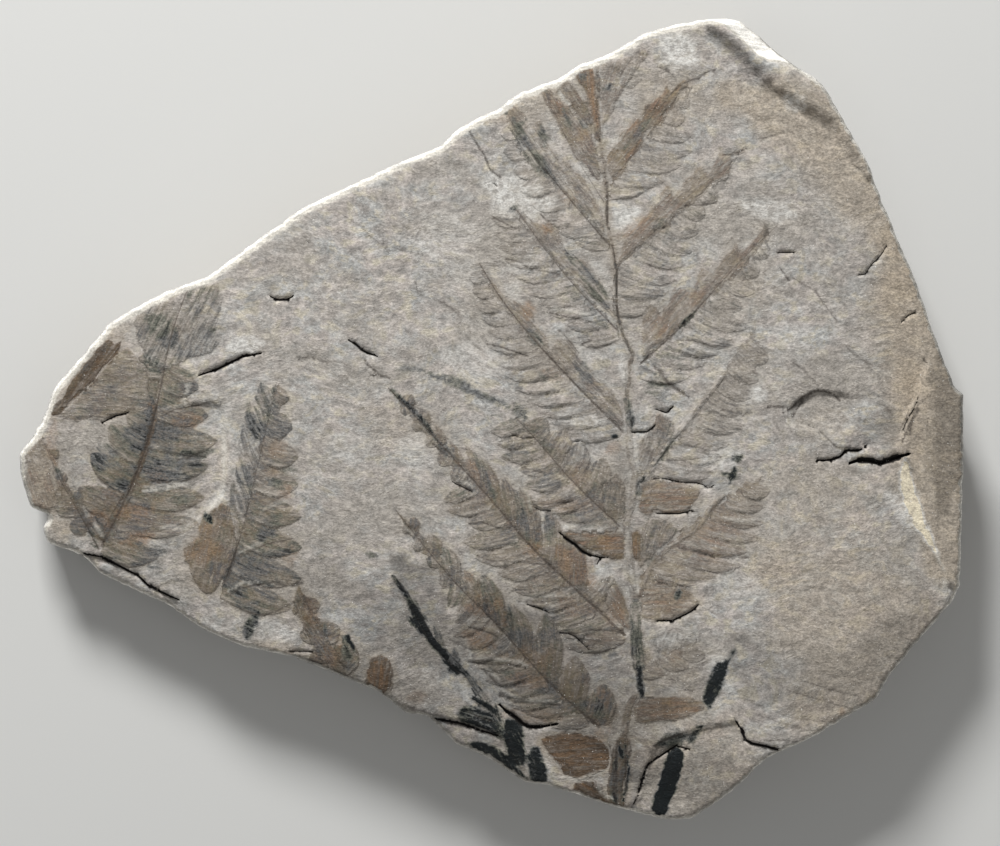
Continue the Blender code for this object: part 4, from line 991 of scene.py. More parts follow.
def bed_height(points):
    """Height of the bare bedding face with its ledges, in millimetres."""
    height = np.full(len(points), BED_HEIGHT)
    height -= LEFT_THINNING * soft_step((LEFT_START - points[:, 0]) / LEFT_LENGTH)
    height -= SHOULDER_DROP * soft_step((points[:, 0] - SHOULDER_START) / SHOULDER_LENGTH)
    height += SWELL * ripple(points, SWELL_LENGTH, 3.7)
    inland = (points - DROOP_FROM) @ DROOP_WAY
    height -= DROOP * np.clip(1.0 - inland / DROOP_LENGTH, 0.0, 1.0) ** 2
    for ledge in LEDGES:
        wander = 0.25 * ripple(points, 1.6, 8.0)
        depth = depth_inside(points, ledge.area, 1.0 + ledge.width) + wander
        step = soft_step(depth / ledge.width + 0.5)
        away = np.linalg.norm(points - np.array(ledge.middle), axis=1) / ledge.reach
        height += ledge.rise * step * np.clip(1.0 + FULL_RISE - away, 0.0, 1.0)
    return height


def scarp_depth(points):
    """How far the broken north-east edge has fallen away, in steps of about a millimetre."""
    gap, _ = distance_to_line(points, SCARP_CREST)
    fall = np.where(inside(points, SCARP_AREA), SCARP_FALL * gap, 0.0)
    return fall + 0.12 * np.sin(2.0 * math.pi * fall / 0.9) * np.clip(fall, 0.0, 1.0)


def line_field(points, lines, reach=1.0):
    """How strongly a set of lines acts at each point: 1 on a line, 0 beyond its width."""
    field = np.zeros(len(points))
    for line in lines:
        gap, share = distance_to_line(points, line.line, line.half * reach + 0.5)
        taper = np.clip(np.minimum(share, 1.0 - share) * 6.0, 0.25, 1.0)
        field = np.maximum(field, line.amount * np.clip(1.4 - gap / (line.half * taper), 0.0, 1.0))
    return field


def rim_depth(points):
    """How far the chipped rim has taken the face down at each point."""
    gap, share = distance_to_line(points, np.vstack((ring, ring[:1])), 3.0)
    place = np.clip((share * len(ring)).astype(int), 0, len(ring) - 1)
    facing = np.maximum(0.0, -(inward[place] @ LONG_RIM_WAY))
    width = RIM_WIDTH + LONG_RIM_WIDTH * facing + 0.35 * ripple(points, 2.2, 14.0)
    return RIM_DROP * np.clip(1.0 - gap / np.maximum(width, 0.2), 0.0, 1.0) ** 1.2


fern = FernFields(face_points)
cracks = line_field(face_points, CRACKS)
creases = line_field(face_points, CREASES)
glints = line_field(face_points, GLINTS)
grain = sum(rise * ripple(face_points, *waves) for rise, *waves in GRAIN)
on_fern = soft_step(fern.depth / 0.6 + 0.5)
height = bed_height(face_points) + grain * (1.0 - SMOOTHED * on_fern) + fern.height
height -= cracks + CREASE_DEPTH * creases - GLINT_RISE * glints
height -= AXIS_DEPTH * np.clip(1.0 - fern.stem / AXIS_HALF, 0.0, 1.0)
rim, scarp = rim_depth(face_points), scarp_depth(face_points)
height -= rim + scarp
height = np.maximum(height, LOWEST_FACE)
print("face from", round(height.min(), 2), "to", round(height.max(), 2), "mm")

# %% [markdown]
# ## Wall and underside
# The broken wall shows the shale's layers edge on. Each layer has its own thickness and stands in or
# out of its neighbours by a little, as each broke on its own, and it has lumps and chips of its own
# too. Two rows of points go round the slab for each layer, so the steps between them stay crisp.

# %% Layers of the wall
LAYER_COUNT = 15
THINNEST, THICKEST = 0.4, 1.8  # before they are fitted to the slab's height
LAYER_ENDS = (0.1, 0.9)  # where a layer's two rows are, as shares of its thickness
LEAST_INSET = 0.45  # how far the wall stands back under the rim
UNDERCUT = 1.1  # how much farther back its foot stands
STAGGER, LUMP, CHIP = 0.75, 0.4, 0.16  # how far layers, lumps and chips stand in and out


def wall_noise(level, length, seed):
    """Smooth noise along the wall, at one level of it."""
    return ripple(ring, length, seed + level)


def wall_row(layer, share):
    """One row of a layer, at a share of its height above the table."""
    z = height[:len(ring)] * share
    inset = LEAST_INSET + UNDERCUT * (1.0 - share) ** 3
    inset += STAGGER * wall_noise(7.3 * layer, 13.0, 40.0)
    inset += LUMP * wall_noise(4.0 * share, 4.5, 41.0) + CHIP * wall_noise(3.1 * layer, 1.4, 42.0)
    return np.column_stack((ring + inward * np.maximum(inset, 0.0)[:, None], z))


thicknesses = np.random.default_rng(3).uniform(THINNEST, THICKEST, LAYER_COUNT)
joints = 1.0 - np.concatenate(([0.0], np.cumsum(thicknesses))) / thicknesses.sum()
wall = []
for layer, (top, bottom) in enumerate(zip(joints[:-1], joints[1:])):
    wall += [wall_row(layer, top + end * (bottom - top)) for end in LAYER_ENDS]
wall.append(wall_row(LAYER_COUNT - 1, 0.0))
points = np.vstack([np.column_stack((face_points, height))] + wall)
faces = [tuple(t) for t in triangles]
upper = np.arange(len(ring))
for row in range(len(wall)):
    lower = len(face_points) + row * len(ring) + np.arange(len(ring))
    for i in range(len(ring)):
        j = (i + 1) % len(ring)
        faces.append((upper[i], upper[j], lower[j], lower[i]))
    upper = lower
faces.append(tuple(upper))
print(len(points), "points,", sum(len(f) - 2 for f in faces), "triangles in all")

# %% [markdown]
# ## Stains and painted shade
# The film isn't even: carbon is thick and blue-black in places, rusty in others, scraped off to
# pale stone elsewhere, and the bare rock has weathered tan along the right. Each stain is a short
# stroke with a reach and a strength, as one would dab it on with a brush, and the material's noise
# breaks up its edge. Painted shade is laid in the same kind of strokes: it darkens the face where it
# falls away from the light along the lower edge, on risers and facets turned from the light, and over
# some fronds and other patches.

# %% Strokes of stain and of painted shade
Patch = namedtuple("Patch", "line reach amount")
CARBON = table(
    Patch,
    (((-20, -21), (-18, -22)), 0.5, 0.6), (((-54.5, 16.5), (-52, 14), (-50, 11.5)), 2.1, 0.55),
    (((-48, 20), (-44.5, 20)), 1.8, 0.35), (((-46, 13), (-44, 14)), 1.6, 0.45),
    (((-55, 10), (-53, 7.5)), 1.3, 0.6), (((-50, 5), (-52, 2.5)), 1.6, 0.45),
    (((-52, -2), (-48.5, -1.5)), 1.6, 0.5), (((-50, -6), (-44.5, -5)), 1.4, 0.6),
    (((-51.5, -13), (-47.5, -12.5)), 1.1, 0.55), (((-62.5, -4.5), (-59.5, -6.5)), 1.4, 0.5),
    (((-60, -1.5), (-57.5, -4)), 1.6, 0.5), (((-64, -11), (-62, -13)), 1.3, 0.35),
    (((-57, -22), (-52, -21)), 1.0, 0.5), (((-66.5, 1.5), (-62.5, 1.5)), 1.0, 0.3),
    (((-54.5, -23), (-53, -24.5)), 1.3, 0.3), (((-50.5, 7.5), (-47.5, 7)), 0.8, 0.5),
    (((-38.5, 2.5), (-37.5, -4), (-37.5, -10)), 1.4, 0.3), (((-38.5, -13.5), (-36.5, -15.5)), 1.9, 0.45),
    (((-36.5, -17), (-33.5, -15.5)), 1.3, 0.5), (((-38, -21.5), (-35, -23)), 1.9, 0.5),
    (((-40, -24.5), (-37.5, -26)), 1.3, 0.45), (((-41, -29.5), (-34.5, -29.5)), 1.1, 0.3),
    (((-54.5, -12), (-47.5, -10.5)), 1.3, 0.35), (((-37, -31), (-38.5, -33), (-39, -35)), 1.0, 0.85),
    (((-35.5, -9.5), (-33, -11)), 1.0, 0.62), (((-45.5, -15), (-44.5, -16.5)), 0.6, 1.0),
    (((-33, -8), (-31, -8)), 1.0, 0.5), (((-34.5, 3), (-35.5, -0.5)), 0.6, 0.6),
    (((3.5, 47.5), (6, 42.5), (10.5, 37.5)), 1.1, 0.55), (((14, 34), (17.5, 30)), 0.8, 0.3),
    (((2, 49), (2.5, 48.5)), 0.5, 0.7), (((3.5, 45.5), (5.5, 47.5)), 0.5, 0.6),
    (((11.5, 49.5), (13, 46)), 0.8, 0.4), (((8, 46.5), (8.5, 43.5)), 0.8, 0.5),
    (((14, 55), (15, 54)), 0.6, 0.55), (((14, 48), (15.5, 46)), 0.6, 0.35),
    (((16.5, 57), (17, 54), (17.5, 51)), 0.5, 0.25), (((18, 52.5), (19.5, 53)), 0.5, 0.6),
    (((12, 27), (13.5, 24.5)), 0.8, 0.55), (((14, 24.5), (16.5, 21), (18.5, 18)), 1.3, 0.5),
    (((3, 33), (4.5, 34)), 0.5, 0.55), (((11, 21), (16, 18.5)), 1.4, 0.3),
    (((16, 17.5), (18.5, 14.5)), 1.0, 0.45), (((6, 14), (8, 12)), 1.1, 0.5),
    (((13.5, 9), (16, 6)), 1.1, 0.45), (((8, 7), (11, 6)), 1.3, 0.3), (((-15, 8), (-11.5, 8)), 0.6, 0.5),
    (((-11.5, 8), (-7, 6), (-1.5, 3.5)), 0.4, 0.65), (((-7.5, 7), (-4, 5.5), (-2, 4), (3, 2)), 0.6, 0.62),
    (((4, 2), (5.5, 0)), 1.0, 0.6), (((2, -0.5), (6.5, -2)), 1.0, 0.35),
    (((8, -3), (10.5, -6)), 0.8, 0.45), (((-3.5, 2), (1.5, 0.5)), 1.3, 0.25),
    (((-16, 5), (-14.5, 3.5), (-10.5, -0.5), (-8.5, -3.5)), 0.5, 0.8), (((-8, -4), (-6, -6)), 1.0, 0.6),
    (((-2.5, -5.5), (-0.5, -10), (1, -13.5)), 0.7, 0.5), (((4, -11.5), (5, -15), (6, -19)), 1.0, 0.5),
    (((1.5, -17.5), (4, -20)), 1.4, 0.45), (((9, -15.5), (9.5, -19.5)), 1.0, 0.5),
    (((-5.5, -11), (-4, -12.5)), 1.0, 0.4), (((16, -29), (14, -29.5)), 0.8, 0.3),
    (((-7.5, -20.5), (-6.5, -23.5)), 0.8, 0.5), (((-1, -25), (0, -29.5)), 1.1, 0.5),
    (((3, -30), (4.5, -36)), 1.3, 0.6), (((9, -31.5), (9, -36)), 1.0, 0.4),
    (((1.5, -39.5), (4, -41)), 0.8, 0.4), (((7, -43), (10.5, -43.5)), 0.8, 0.4),
    (((17, -44.5), (17.5, -48)), 1.1, 0.6), (((19.5, -45.5), (19.5, -49)), 0.8, 0.4),
    (((22, 3), (22.5, -1.5)), 0.5, 0.7), (((23, -33), (23.5, -38.5)), 1.0, 0.65),
    (((23.5, -39.5), (24, -44)), 0.5, 1.0), (((23.5, -10), (23.5, -12.5)), 0.4, 0.65),
    (((21, 43), (24, 46), (25.5, 47.5)), 0.8, 0.4), (((26, 30.5), (28, 31.5)), 0.8, 0.4),
    (((30, 14.5), (32.5, 17)), 0.4, 0.85), (((26, 6.5), (27.5, 3.5)), 2.1, 0.45),
    (((28, -1.5), (29, -3.5)), 1.0, 0.4), (((27, 10.5), (32, 11)), 1.3, 0.2),
    (((24.5, -9), (24, -10)), 0.3, 0.95), (((38.5, -6.5), (40, -6)), 0.6, 1.0),
    (((39, -7.5), (38, -10)), 0.5, 1.0), (((36.5, -8.5), (39.5, -9.5)), 0.4, 0.7),
    (((29.5, -28.5), (30, -27)), 0.6, 0.75), (((25, -15.5), (25, -23)), 1.0, 0.3),
    (((19.5, -3), (20, -2.5)), 0.6, 0.85), (((-69.5, -8), (-68.5, -9.5)), 0.8, 0.5),
    (((-65.5, -13.5), (-63.5, -18)), 0.5, 0.4), (((-23.5, -37), (-22.5, -38.5)), 1.0, 0.55),
    # Painted shade: the second stroke on the next row, at (27, -51.5), darkens a facet that lies in
    # shade.
    (((-26.5, -32.5), (-26, -35)), 0.4, 0.7), (((27, -51.5), (31, -50.5)), 1.3, 0.75),
    (((19.5, -60.5), (20, -52.5)), 0.6, 0.35), (((33.5, -49), (32.5, -51)), 0.6, 0.3),
    (((-11.5, -44.5), (-12.5, -45)), 0.8, 0.25), (((17.5, -36), (20, -37.5)), 0.8, 0.25),
    (((43.5, 30.5), (44.5, 31)), 0.8, 0.35), (((30, -2), (26, -7.5)), 0.4, 0.5),
    (((28, -20), (25.5, -22.5)), 0.5, 0.3), (((19.5, -59.5), (20, -61)), 0.5, 1.1),
    (((20.5, -52), (21, -54)), 0.4, 1.1), (((20, -54), (20, -56)), 0.2, 1.1),
    (((21.5, -52), (22, -56), (21.5, -59), (21, -61.5)), 0.2, 1.1),
    (((-63.5, -18.5), (-64.5, -17.5)), 0.6, 0.7), (((-64, -19), (-63, -20.5)), 0.5, 0.8),
)
SCRAPED = table(
    Patch,
    (((0, 37.5), (4.5, 35), (9, 34)), 3.2, 0.95), (((4.5, 39.5), (10.5, 44)), 2.2, 0.35),
    (((-41.5, 11.5), (-36.5, 12)), 1.4, 0.9), (((19.5, 31), (23, 33)), 1.9, 0.9),
    (((21, 9.5), (21.5, 6)), 0.7, 1.0), (((22, -2), (23, -6), (23.5, -8.5)), 0.7, 0.6),
    (((19, 42), (21, 45)), 1.1, 0.9), (((17.5, 38), (14, 40.5)), 1.0, 0.7),
    (((40.5, 34), (48, 32.5)), 1.6, 0.7), (((28, 60), (32, 57)), 2.7, 0.95),
    (((11, 0.5), (18, -0.5)), 1.1, 0.6), (((11.5, -17), (19.5, -17.5)), 0.7, 0.8),
    (((17.5, -24), (18, -27)), 1.8, 0.8), (((26.5, -35.5), (30, -34.5)), 0.8, 1.0),
    (((-6.5, 10), (2, 8.5)), 2.9, 0.45), (((34, -6.5), (39.5, -5.5)), 1.9, 0.6),
    (((41.5, 4), (43.5, 4)), 1.3, 0.9), (((-4, -42), (-2, -44)), 1.3, 0.6),
    (((-38, -33), (-31.5, -34.5)), 1.8, 0.4), (((-11.5, -2), (-12, -8)), 3.2, 0.35),
    (((63, -12), (65, -13.5), (66.5, -16.5)), 1.3, 0.75), (((-3.5, 22.5), (-6.5, 24.5)), 2.9, 0.35),
    (((19.5, -52), (24, -52)), 0.8, 0.8), (((21.5, 14), (22.5, 11)), 0.8, 0.6),
    (((16.5, 24.5), (19, 20)), 1.3, 0.4), (((33.5, -1.5), (28, 1)), 1.3, 0.25),
    (((16, -4), (18, -7.5)), 0.6, 0.35), (((8, 26.5), (6, 24.5), (3, 24)), 1.3, 0.4),
    (((2.5, 21), (4.5, 19)), 1.3, 0.5), (((-38.5, -20), (-34.5, -19)), 0.6, 0.4),
    (((12, 11.5), (17.5, 10)), 1.6, 0.3), (((-69, -14), (-67.5, -15.5)), 1.4, 0.6),
    (((47, 51), (49.5, 49.5)), 1.3, 0.7), (((24, -34.5), (25.5, -36)), 1.0, 0.4),
    (((37, -38), (35, -38.5)), 0.5, 0.6), (((9.5, -52), (9, -56)), 0.8, 0.4),
    (((-3.5, 29.5), (-11.5, 28)), 4.2, 0.3), (((11, 38), (15, 34.5)), 0.8, 0.3),
    (((36.5, -26), (43, -28)), 2.6, 0.3), (((24, 2.5), (26, 0)), 1.0, 0.4),
    (((32, 12), (36.5, 11)), 1.0, 0.3), (((24.5, -45.5), (24, -50)), 0.8, 0.3),
    (((33.5, 28), (36.5, 26.5)), 1.9, 0.3), (((41, 28), (40, 26.5)), 0.8, 0.3),
    (((-42, 1), (-42, -8.5)), 1.1, 0.2), (((-20, -5.5), (-24, -4)), 3.2, 0.2),
    (((46, 14), (49.5, 10.5)), 3.2, 0.25), (((17.5, -12), (16.5, -10)), 0.5, 0.2),
    (((43, 57), (48, 55.5)), 1.3, 0.2), (((-62, -20.5), (-58, -22.5)), 0.8, 0.3),
    (((-52.5, -17), (-46.5, -16)), 1.1, 0.5), (((-48.5, -3.5), (-43.5, -2)), 1.0, 0.55),
    (((-45.5, -14), (-43, -12.5)), 1.0, 0.5), (((24, -49.5), (29, -50.5)), 1.3, 0.35),
    (((25, -48), (30.5, -49)), 1.0, 0.35), (((8.5, -44), (11, -45)), 0.8, 0.5),
    (((1.5, -36), (4.5, -37.5)), 0.5, 0.3),
)
RUSTY = table(
    Patch,
    (((16, 56.5), (16, 51.5), (17, 46.5)), 0.6, 0.8), (((8.5, 30.5), (9.5, 30)), 1.0, 0.6),
    (((25, -12), (32, -12.5)), 2.1, 0.18), (((26, -28), (31, -29.5)), 1.9, 0.12),
    (((33.5, -18), (39, -18)), 2.1, 0.3), (((9, -52), (17.5, -54)), 2.4, 0.25),
    (((14, -59), (16, -59.5)), 1.4, 0.4), (((24, -46), (32.5, -46)), 1.4, 0.35),
    (((1.5, -29.5), (-3.5, -30)), 1.4, 0.6), (((4.5, -32.5), (1.5, -31.5)), 1.1, 0.5),
    (((-2.5, -28), (1.5, -29)), 1.0, 0.5), (((11, -28), (13.5, -31)), 1.3, 0.45),
    (((-4, -34), (0.5, -36)), 1.4, 0.65), (((4.5, -36), (8.5, -39.5)), 1.3, 0.5),
    (((1.5, -37.5), (4.5, -38)), 0.8, 0.3), (((11, -21), (16, -25.5)), 2.2, 0.55),
    (((8, -20.5), (5.5, -21)), 1.0, 0.5), (((3, -41), (9.5, -42)), 1.3, 0.6),
    (((19, -32.5), (20, -29.5)), 1.3, 0.4), (((-4, -24.5), (-3, -25.5)), 0.8, 0.6),
    (((-54, -14), (-59.5, -15)), 1.3, 0.6), (((-54.5, -8.5), (-52, -9.5)), 1.4, 0.95),
    (((-50.5, -0.5), (-46.5, 0)), 1.3, 0.8), (((-63.5, -15), (-61.5, -17)), 1.4, 0.9),
    (((-54, -18.5), (-59, -19.5)), 1.1, 0.8), (((-54, -2), (-55.5, -7), (-57.5, -11)), 0.6, 0.25),
    (((-54.5, 2), (-54, 2.5)), 0.6, 0.6), (((-49, 5), (-49, 4)), 0.6, 0.4),
    (((-50.5, 15), (-50, 13)), 1.0, 0.3), (((-62.5, 10.5), (-64.5, 8), (-66.5, 5)), 1.3, 0.12),
    (((-69.5, -0.5), (-70.5, -4), (-69.5, -7)), 0.8, 0.35), (((-48, -21.5), (-43.5, -20.5)), 2.2, 0.5),
    (((-46, -17.5), (-42.5, -16.5)), 1.3, 0.4), (((-33.5, -12), (-32, -11)), 1.3, 0.5),
    (((-35.5, -8.5), (-34, -8.5)), 1.0, 0.3), (((-33, -4), (-34.5, -5.5)), 1.3, 0.35),
    (((-32, -20.5), (-32, -23)), 1.3, 0.4), (((-29, -29.5), (-28, -32.5)), 1.1, 0.4),
    (((-26, -36.5), (-25, -39)), 1.1, 0.5), (((-18, -39), (-18, -43)), 1.4, 0.6),
    (((-23.5, -34), (-23.5, -36.5)), 1.1, 0.3), (((-13, -44.5), (-10.5, -44)), 1.0, 0.35),
    (((24, -36), (20, -37.5)), 0.8, 0.2), (((15, -7), (13.5, -10)), 1.4, 0.35),
    (((25.5, 1), (27.5, -1.5)), 1.1, 0.3), (((20.5, 29), (25.5, 32)), 1.1, 0.3),
    (((22, 46), (24, 47)), 1.0, 0.35), (((10, 50.5), (12, 48.5)), 1.0, 0.4),
    (((14, 46), (16, 42.5)), 1.0, 0.3), (((6, 18.5), (6, 16)), 1.0, 0.45),
    (((25.5, 15.5), (28, 14)), 1.4, 0.3), (((33.5, 20), (32, 18.5)), 1.4, 0.25),
    (((13.5, 34.5), (11, 36)), 1.0, 0.3), (((20.5, -4), (18.5, -5)), 1.0, 0.35),
    (((30, -37), (29, -38)), 1.0, 0.35), (((17.5, -20), (20.5, -20.5)), 1.3, 0.35),
    (((8, -13.5), (17.5, -14)), 1.1, 0.3), (((11, -29.5), (17.5, -30.5)), 1.0, 0.25),
    (((8.5, -39), (9.5, -36)), 1.1, 0.35), (((18.5, -45.5), (17.5, -43)), 1.1, 0.7),
    (((19.5, -56), (21, -56.5)), 0.8, 0.35), (((3, 47.5), (1.5, 48)), 0.6, 0.2),
    (((55.5, -46.5), (56, -46.5)), 0.8, 0.6), (((11, 6.5), (8.5, 7.5)), 1.0, 0.3),
    (((-3.5, -6.5), (-2, -9.5)), 0.8, 0.5), (((1.5, -47), (11, -47.5)), 1.1, 0.35),
    (((18, -51), (20, -45.5)), 0.8, 0.3), (((17.5, -19.5), (21, -20)), 1.4, 0.45),
    (((21, -31.5), (19.5, -29.5)), 0.8, 0.5), (((23, -19), (23, -21.5)), 0.5, 0.5),
    (((17.5, -51), (17, -49)), 0.8, 0.4), (((33.5, -22), (36.5, -20.5)), 1.6, 0.2),
)
WEATHERED = table(
    Patch,
    (((64, 30), (69.5, 15.5), (72, -4), (72.5, -23)), 8.0, 0.9),
    (((38, 51.5), (49.5, 48), (57.5, 40), (63, 28)), 5.4, 0.8),
    (((46, -23), (62, -36), (52.5, -45.5)), 12.0, 0.55), (((24, -50), (40, -56.5)), 8.8, 0.4),
    (((-67.5, 10), (-62.5, 13)), 1.9, 0.3), (((-72, -8.5), (-68.5, -17.5)), 4.2, 0.6),
    (((0, 47.5), (11, 52)), 2.2, 0.45), (((-61, 14.5), (-58, 14.5)), 1.6, 0.35),
    (((49.5, -10), (57.5, -20)), 11.2, 0.3), (((24, 54), (33.5, 49)), 4.8, 0.3),
    (((-14.5, -2), (-11.5, -5.5)), 3.8, 0.2), (((-42.5, -2), (-42.5, -10)), 1.0, 0.4),
    (((-37, -36), (-30.5, -38)), 1.9, 0.5), (((8.5, -51), (8.5, -55)), 1.3, 0.4),
    (((26, -39), (32, -40.5)), 2.6, 0.4), (((24.5, -49), (30, -55)), 3.2, 0.5),
    (((24, -28), (33.5, -29.5)), 3.2, 0.3), (((24, -34), (25.5, -44)), 1.3, 0.4),
    (((-46.5, -23), (-48, -28)), 2.9, 0.25), (((36.5, 22), (43, 18.5)), 3.5, 0.25),
    (((49.5, -0.5), (57.5, -1.5)), 2.6, 0.25), (((-19.5, 1), (-8, -4)), 3.2, 0.25),
)
# Painted shade: strokes that darken the colour along the lower edge, on risers and facets turned from the
# light, and over some fronds and other patches.
PAINTED_SHADE = table(
    Patch,
    (((-30.5, -39), (-14.5, -45.5), (-3.5, -53.5), (11, -60.5)), 5.4, 0.7),
    (((-11.5, -36), (4.5, -37.5), (20.5, -45.5), (24, -55)), 9.6, 0.75),
    (((-19.5, -29.5), (-14.5, -36)), 6.4, 0.6), (((30, -57.5), (40, -57.5)), 5.4, 0.6),
    (((43, -44), (57.5, -42), (70, -31)), 5.4, 0.55), (((72.5, 14), (73.5, -0.5), (72, -14)), 3.2, 0.75),
    (((-14.5, -23), (-8, -32.5)), 3.8, 0.85), (((39.5, -36), (45.5, -44)), 4.5, 0.6),
    (((-30.5, -24.5), (-22.5, -28)), 5.6, 0.4),
    (((34.5, 62), (37, 59.5), (39, 58), (41, 55.5), (43, 54), (45, 52)), 1.3, 0.4),
    (((57.5, -4), (60, -1.5), (63, 1)), 1.8, 0.45), (((61, -3), (62.5, 0), (64, -2)), 1.9, 0.5),
    (((20.5, -52), (20, -61.5)), 1.3, 0.6), (((14, -58.5), (18, -60)), 1.3, 0.95),
    (((10, -54), (17.5, -54)), 2.6, 0.35),
    (((-53.5, 2), (-54.5, -2.5), (-55.5, -6), (-57, -10), (-58, -12)), 0.5, 0.8),
    (((-62, 11), (-65, 7.5), (-67.5, 4)), 1.4, 0.55), (((-48, -10), (-46, -5.5)), 2.2, 0.6),
    (((-52, 11.5), (-46.5, 17)), 2.6, 0.35), (((-10, -44), (-3.5, -46)), 2.6, 0.5),
    (((21.5, -5.5), (22, -16.5), (22, -29.5)), 3.8, 0.35), (((54, -4.5), (59.5, -5)), 0.6, 0.5),
    (((27, -53), (30, -51.5)), 0.6, 0.95), (((48, 1.5), (50.5, 3.5)), 0.6, 0.4),
    (((41.5, 56), (45.5, 54)), 1.3, 0.3), (((24, -36), (33.5, -42)), 6.4, 0.5),
    (((11, -23), (20.5, -29.5)), 8.0, 0.35), (((-69, -5.5), (-64, -18)), 4.8, 0.3),
)
Sheet = namedtuple("Sheet", "area amount")
SHEETS = table(
    Sheet,
    (((39, -36.25), (38, -38.5), (37.25, -41), (36.5, -43), (35.5, -45), (34.75, -46.25), (34, -45.5),
      (33.75, -43.75), (34.25, -42), (35, -40.25), (35.75, -38.75), (37.25, -38.5), (38.25, -36.75)),
      1.05),
    (((29.25, -52), (30.75, -53), (30.5, -55), (30, -57), (29.25, -59.25), (28.5, -61.25), (27.5, -63.75),
      (25.5, -63.75), (26, -61), (26.75, -58.5), (27.5, -55.75), (28.25, -53.5)), 1.7),
    (((34, -48.5), (33.25, -50), (32.5, -51.5), (31.25, -51.5), (32, -49.75), (33, -48.75)), 0.85),
    (((-15.5, -24.75), (-14.25, -26), (-13.25, -27.5), (-12.5, -28.75), (-11.5, -30), (-10.75, -31.25),
      (-10, -32.75), (-9.25, -34.25), (-8.5, -35.25), (-7, -36.75), (-6.25, -38), (-7, -38.5),
      (-8, -37.5), (-9.25, -36.5), (-10, -35.25), (-10.75, -33.75), (-11.5, -32.25), (-12.5, -31),
      (-13, -29.5), (-13.75, -27.75), (-14.75, -26.25)), 1.15),
    (((-13.5, -31.25), (-12.5, -31.5), (-11.5, -32.25), (-10.25, -33.5), (-9.75, -34.75),
      (-10.75, -34.25), (-12, -33.25), (-13, -32.25)), 1.15),
    (((-7.75, -38.25), (-6.75, -38.5), (-5.25, -39.25), (-4.5, -40.25), (-5.25, -40.75), (-6.75, -40.25),
      (-7.25, -39.25)), 1.05),
    (((-3.25, -43.75), (-2.25, -44.25), (-0.5, -45), (1, -46.25), (1.25, -47.25), (0, -46.75),
      (-1.5, -45.5), (-2.75, -44.75)), 1.1),
    (((-5.5, -46.75), (-4.25, -45.75), (-2.25, -46), (-0.25, -46.75), (1.25, -47.75), (2, -49),
      (2.75, -51.25), (1.25, -51), (-0.5, -49.75), (-2.75, -49), (-4.75, -48.5)), 0.9),
    (((2.25, -48), (3.75, -47.75), (5, -48.25), (5.25, -51), (5.75, -53.75), (5.25, -55.25),
      (3.75, -55.25), (2.75, -53), (2, -50.75)), 1.1),
    (((-3.75, -51.75), (-1.75, -51.5), (0.5, -52.25), (3, -53.75), (4.5, -55.75), (6.25, -57.5),
      (4.25, -56.75), (2.25, -55.75), (-0.25, -54.5), (-2.5, -53)), 1.1),
    (((5.75, -53.75), (6.75, -52.25), (7.75, -52.25), (8.5, -54.25), (9, -56.25), (9.25, -59),
      (7.75, -58.5), (6.25, -57.5)), 1.1),
)
# Painted highlight on cream stone: this wedge's facet faces the light.
LIT_CREAM_WEDGE = Sheet(((66, -6), (66.75, -7.25), (67.5, -10.25), (68.5, -13.5), (69.5, -16.75),
                    (70.75, -19.75), (71.5, -22), (70.25, -20.75), (69, -19.25), (67.5, -17.25),
                    (66.25, -14.75), (65.25, -11.75), (65, -9), (65.5, -7)), 1.3)


def stain(points, patches):
    """Strength of one kind of stain, or of the painted shade, at each point."""
    field = np.zeros(len(points))
    for patch in patches:
        gap, share = distance_to_line(points, patch.line, patch.reach * 1.6)
        taper = np.clip(np.minimum(share, 1.0 - share) * 5.0, 0.45, 1.0)
        field = np.maximum(field, patch.amount * soft_step(1.5 - gap / (patch.reach * taper)))
    return field


def add_sheet(field, sheet):
    """Lay one sheet of stain over a field."""
    solid = soft_step(depth_inside(face_points, sheet.area, 2.0) / 0.4 + 0.5)
    return np.maximum(field, sheet.amount * solid)


carbon = stain(face_points, CARBON)
for sheet in SHEETS:
    carbon = add_sheet(carbon, sheet)
scraped = add_sheet(stain(face_points, SCRAPED), LIT_CREAM_WEDGE)
rusty = stain(face_points, RUSTY)
weathered = stain(face_points, WEATHERED)
painted_shade = stain(face_points, PAINTED_SHADE)
print("carbon on", round(100 * (carbon > 0.5).mean(), 1), "percent of the face")

# %% [markdown]
# ## The mesh
# One mesh holds it all. The stains and distances go in as attributes, one value for each point,
# and the material reads them. Where a point is on the wall they are filled with plain stone.

# %% Build the piece
def fill_to(values, filler):
    """Extend values of the face's points to the wall's points."""
    rest = np.full((len(points) - len(face_points),) + values.shape[1:], filler, dtype=float)
    return np.concatenate((values, rest))


mesh = bpy.data.meshes.new("fern_plate")
mesh.from_pydata((points * MM).tolist(), [], [tuple(map(int, f)) for f in faces])
mesh.validate()
plate = bpy.data.objects.new("fern_plate", mesh)
bpy.context.scene.collection.objects.link(plate)
values = {
    "margin": (fern.depth, -FAR), "edge": (fern.edge, -FAR), "stem": (fern.stem, FAR),
    "film": (fern.brown, 0.0), "fern_ink": (fern.carbon, 0.0), "under": (fern.under, 0.0),
    "ink": (carbon, 0.0),
    "crack": (cracks, 0.0), "crease": (creases, 0.0), "glint": (glints, 0.0),
    "scraped": (scraped, 0.0), "rusty": (rusty, 0.0), "weathered": (weathered, 0.0),
    "painted_shade": (painted_shade, 0.0), "rim": (np.maximum(rim, 0.6 * np.minimum(scarp, 1.5)), 0.0),
    "wall": (np.zeros(len(face_points)), 1.0),
}
for name, (field, filler) in values.items():
    layer = mesh.attributes.new(name, "FLOAT", "POINT")
    layer.data.foreach_set("value", fill_to(field, filler).astype(np.float32))
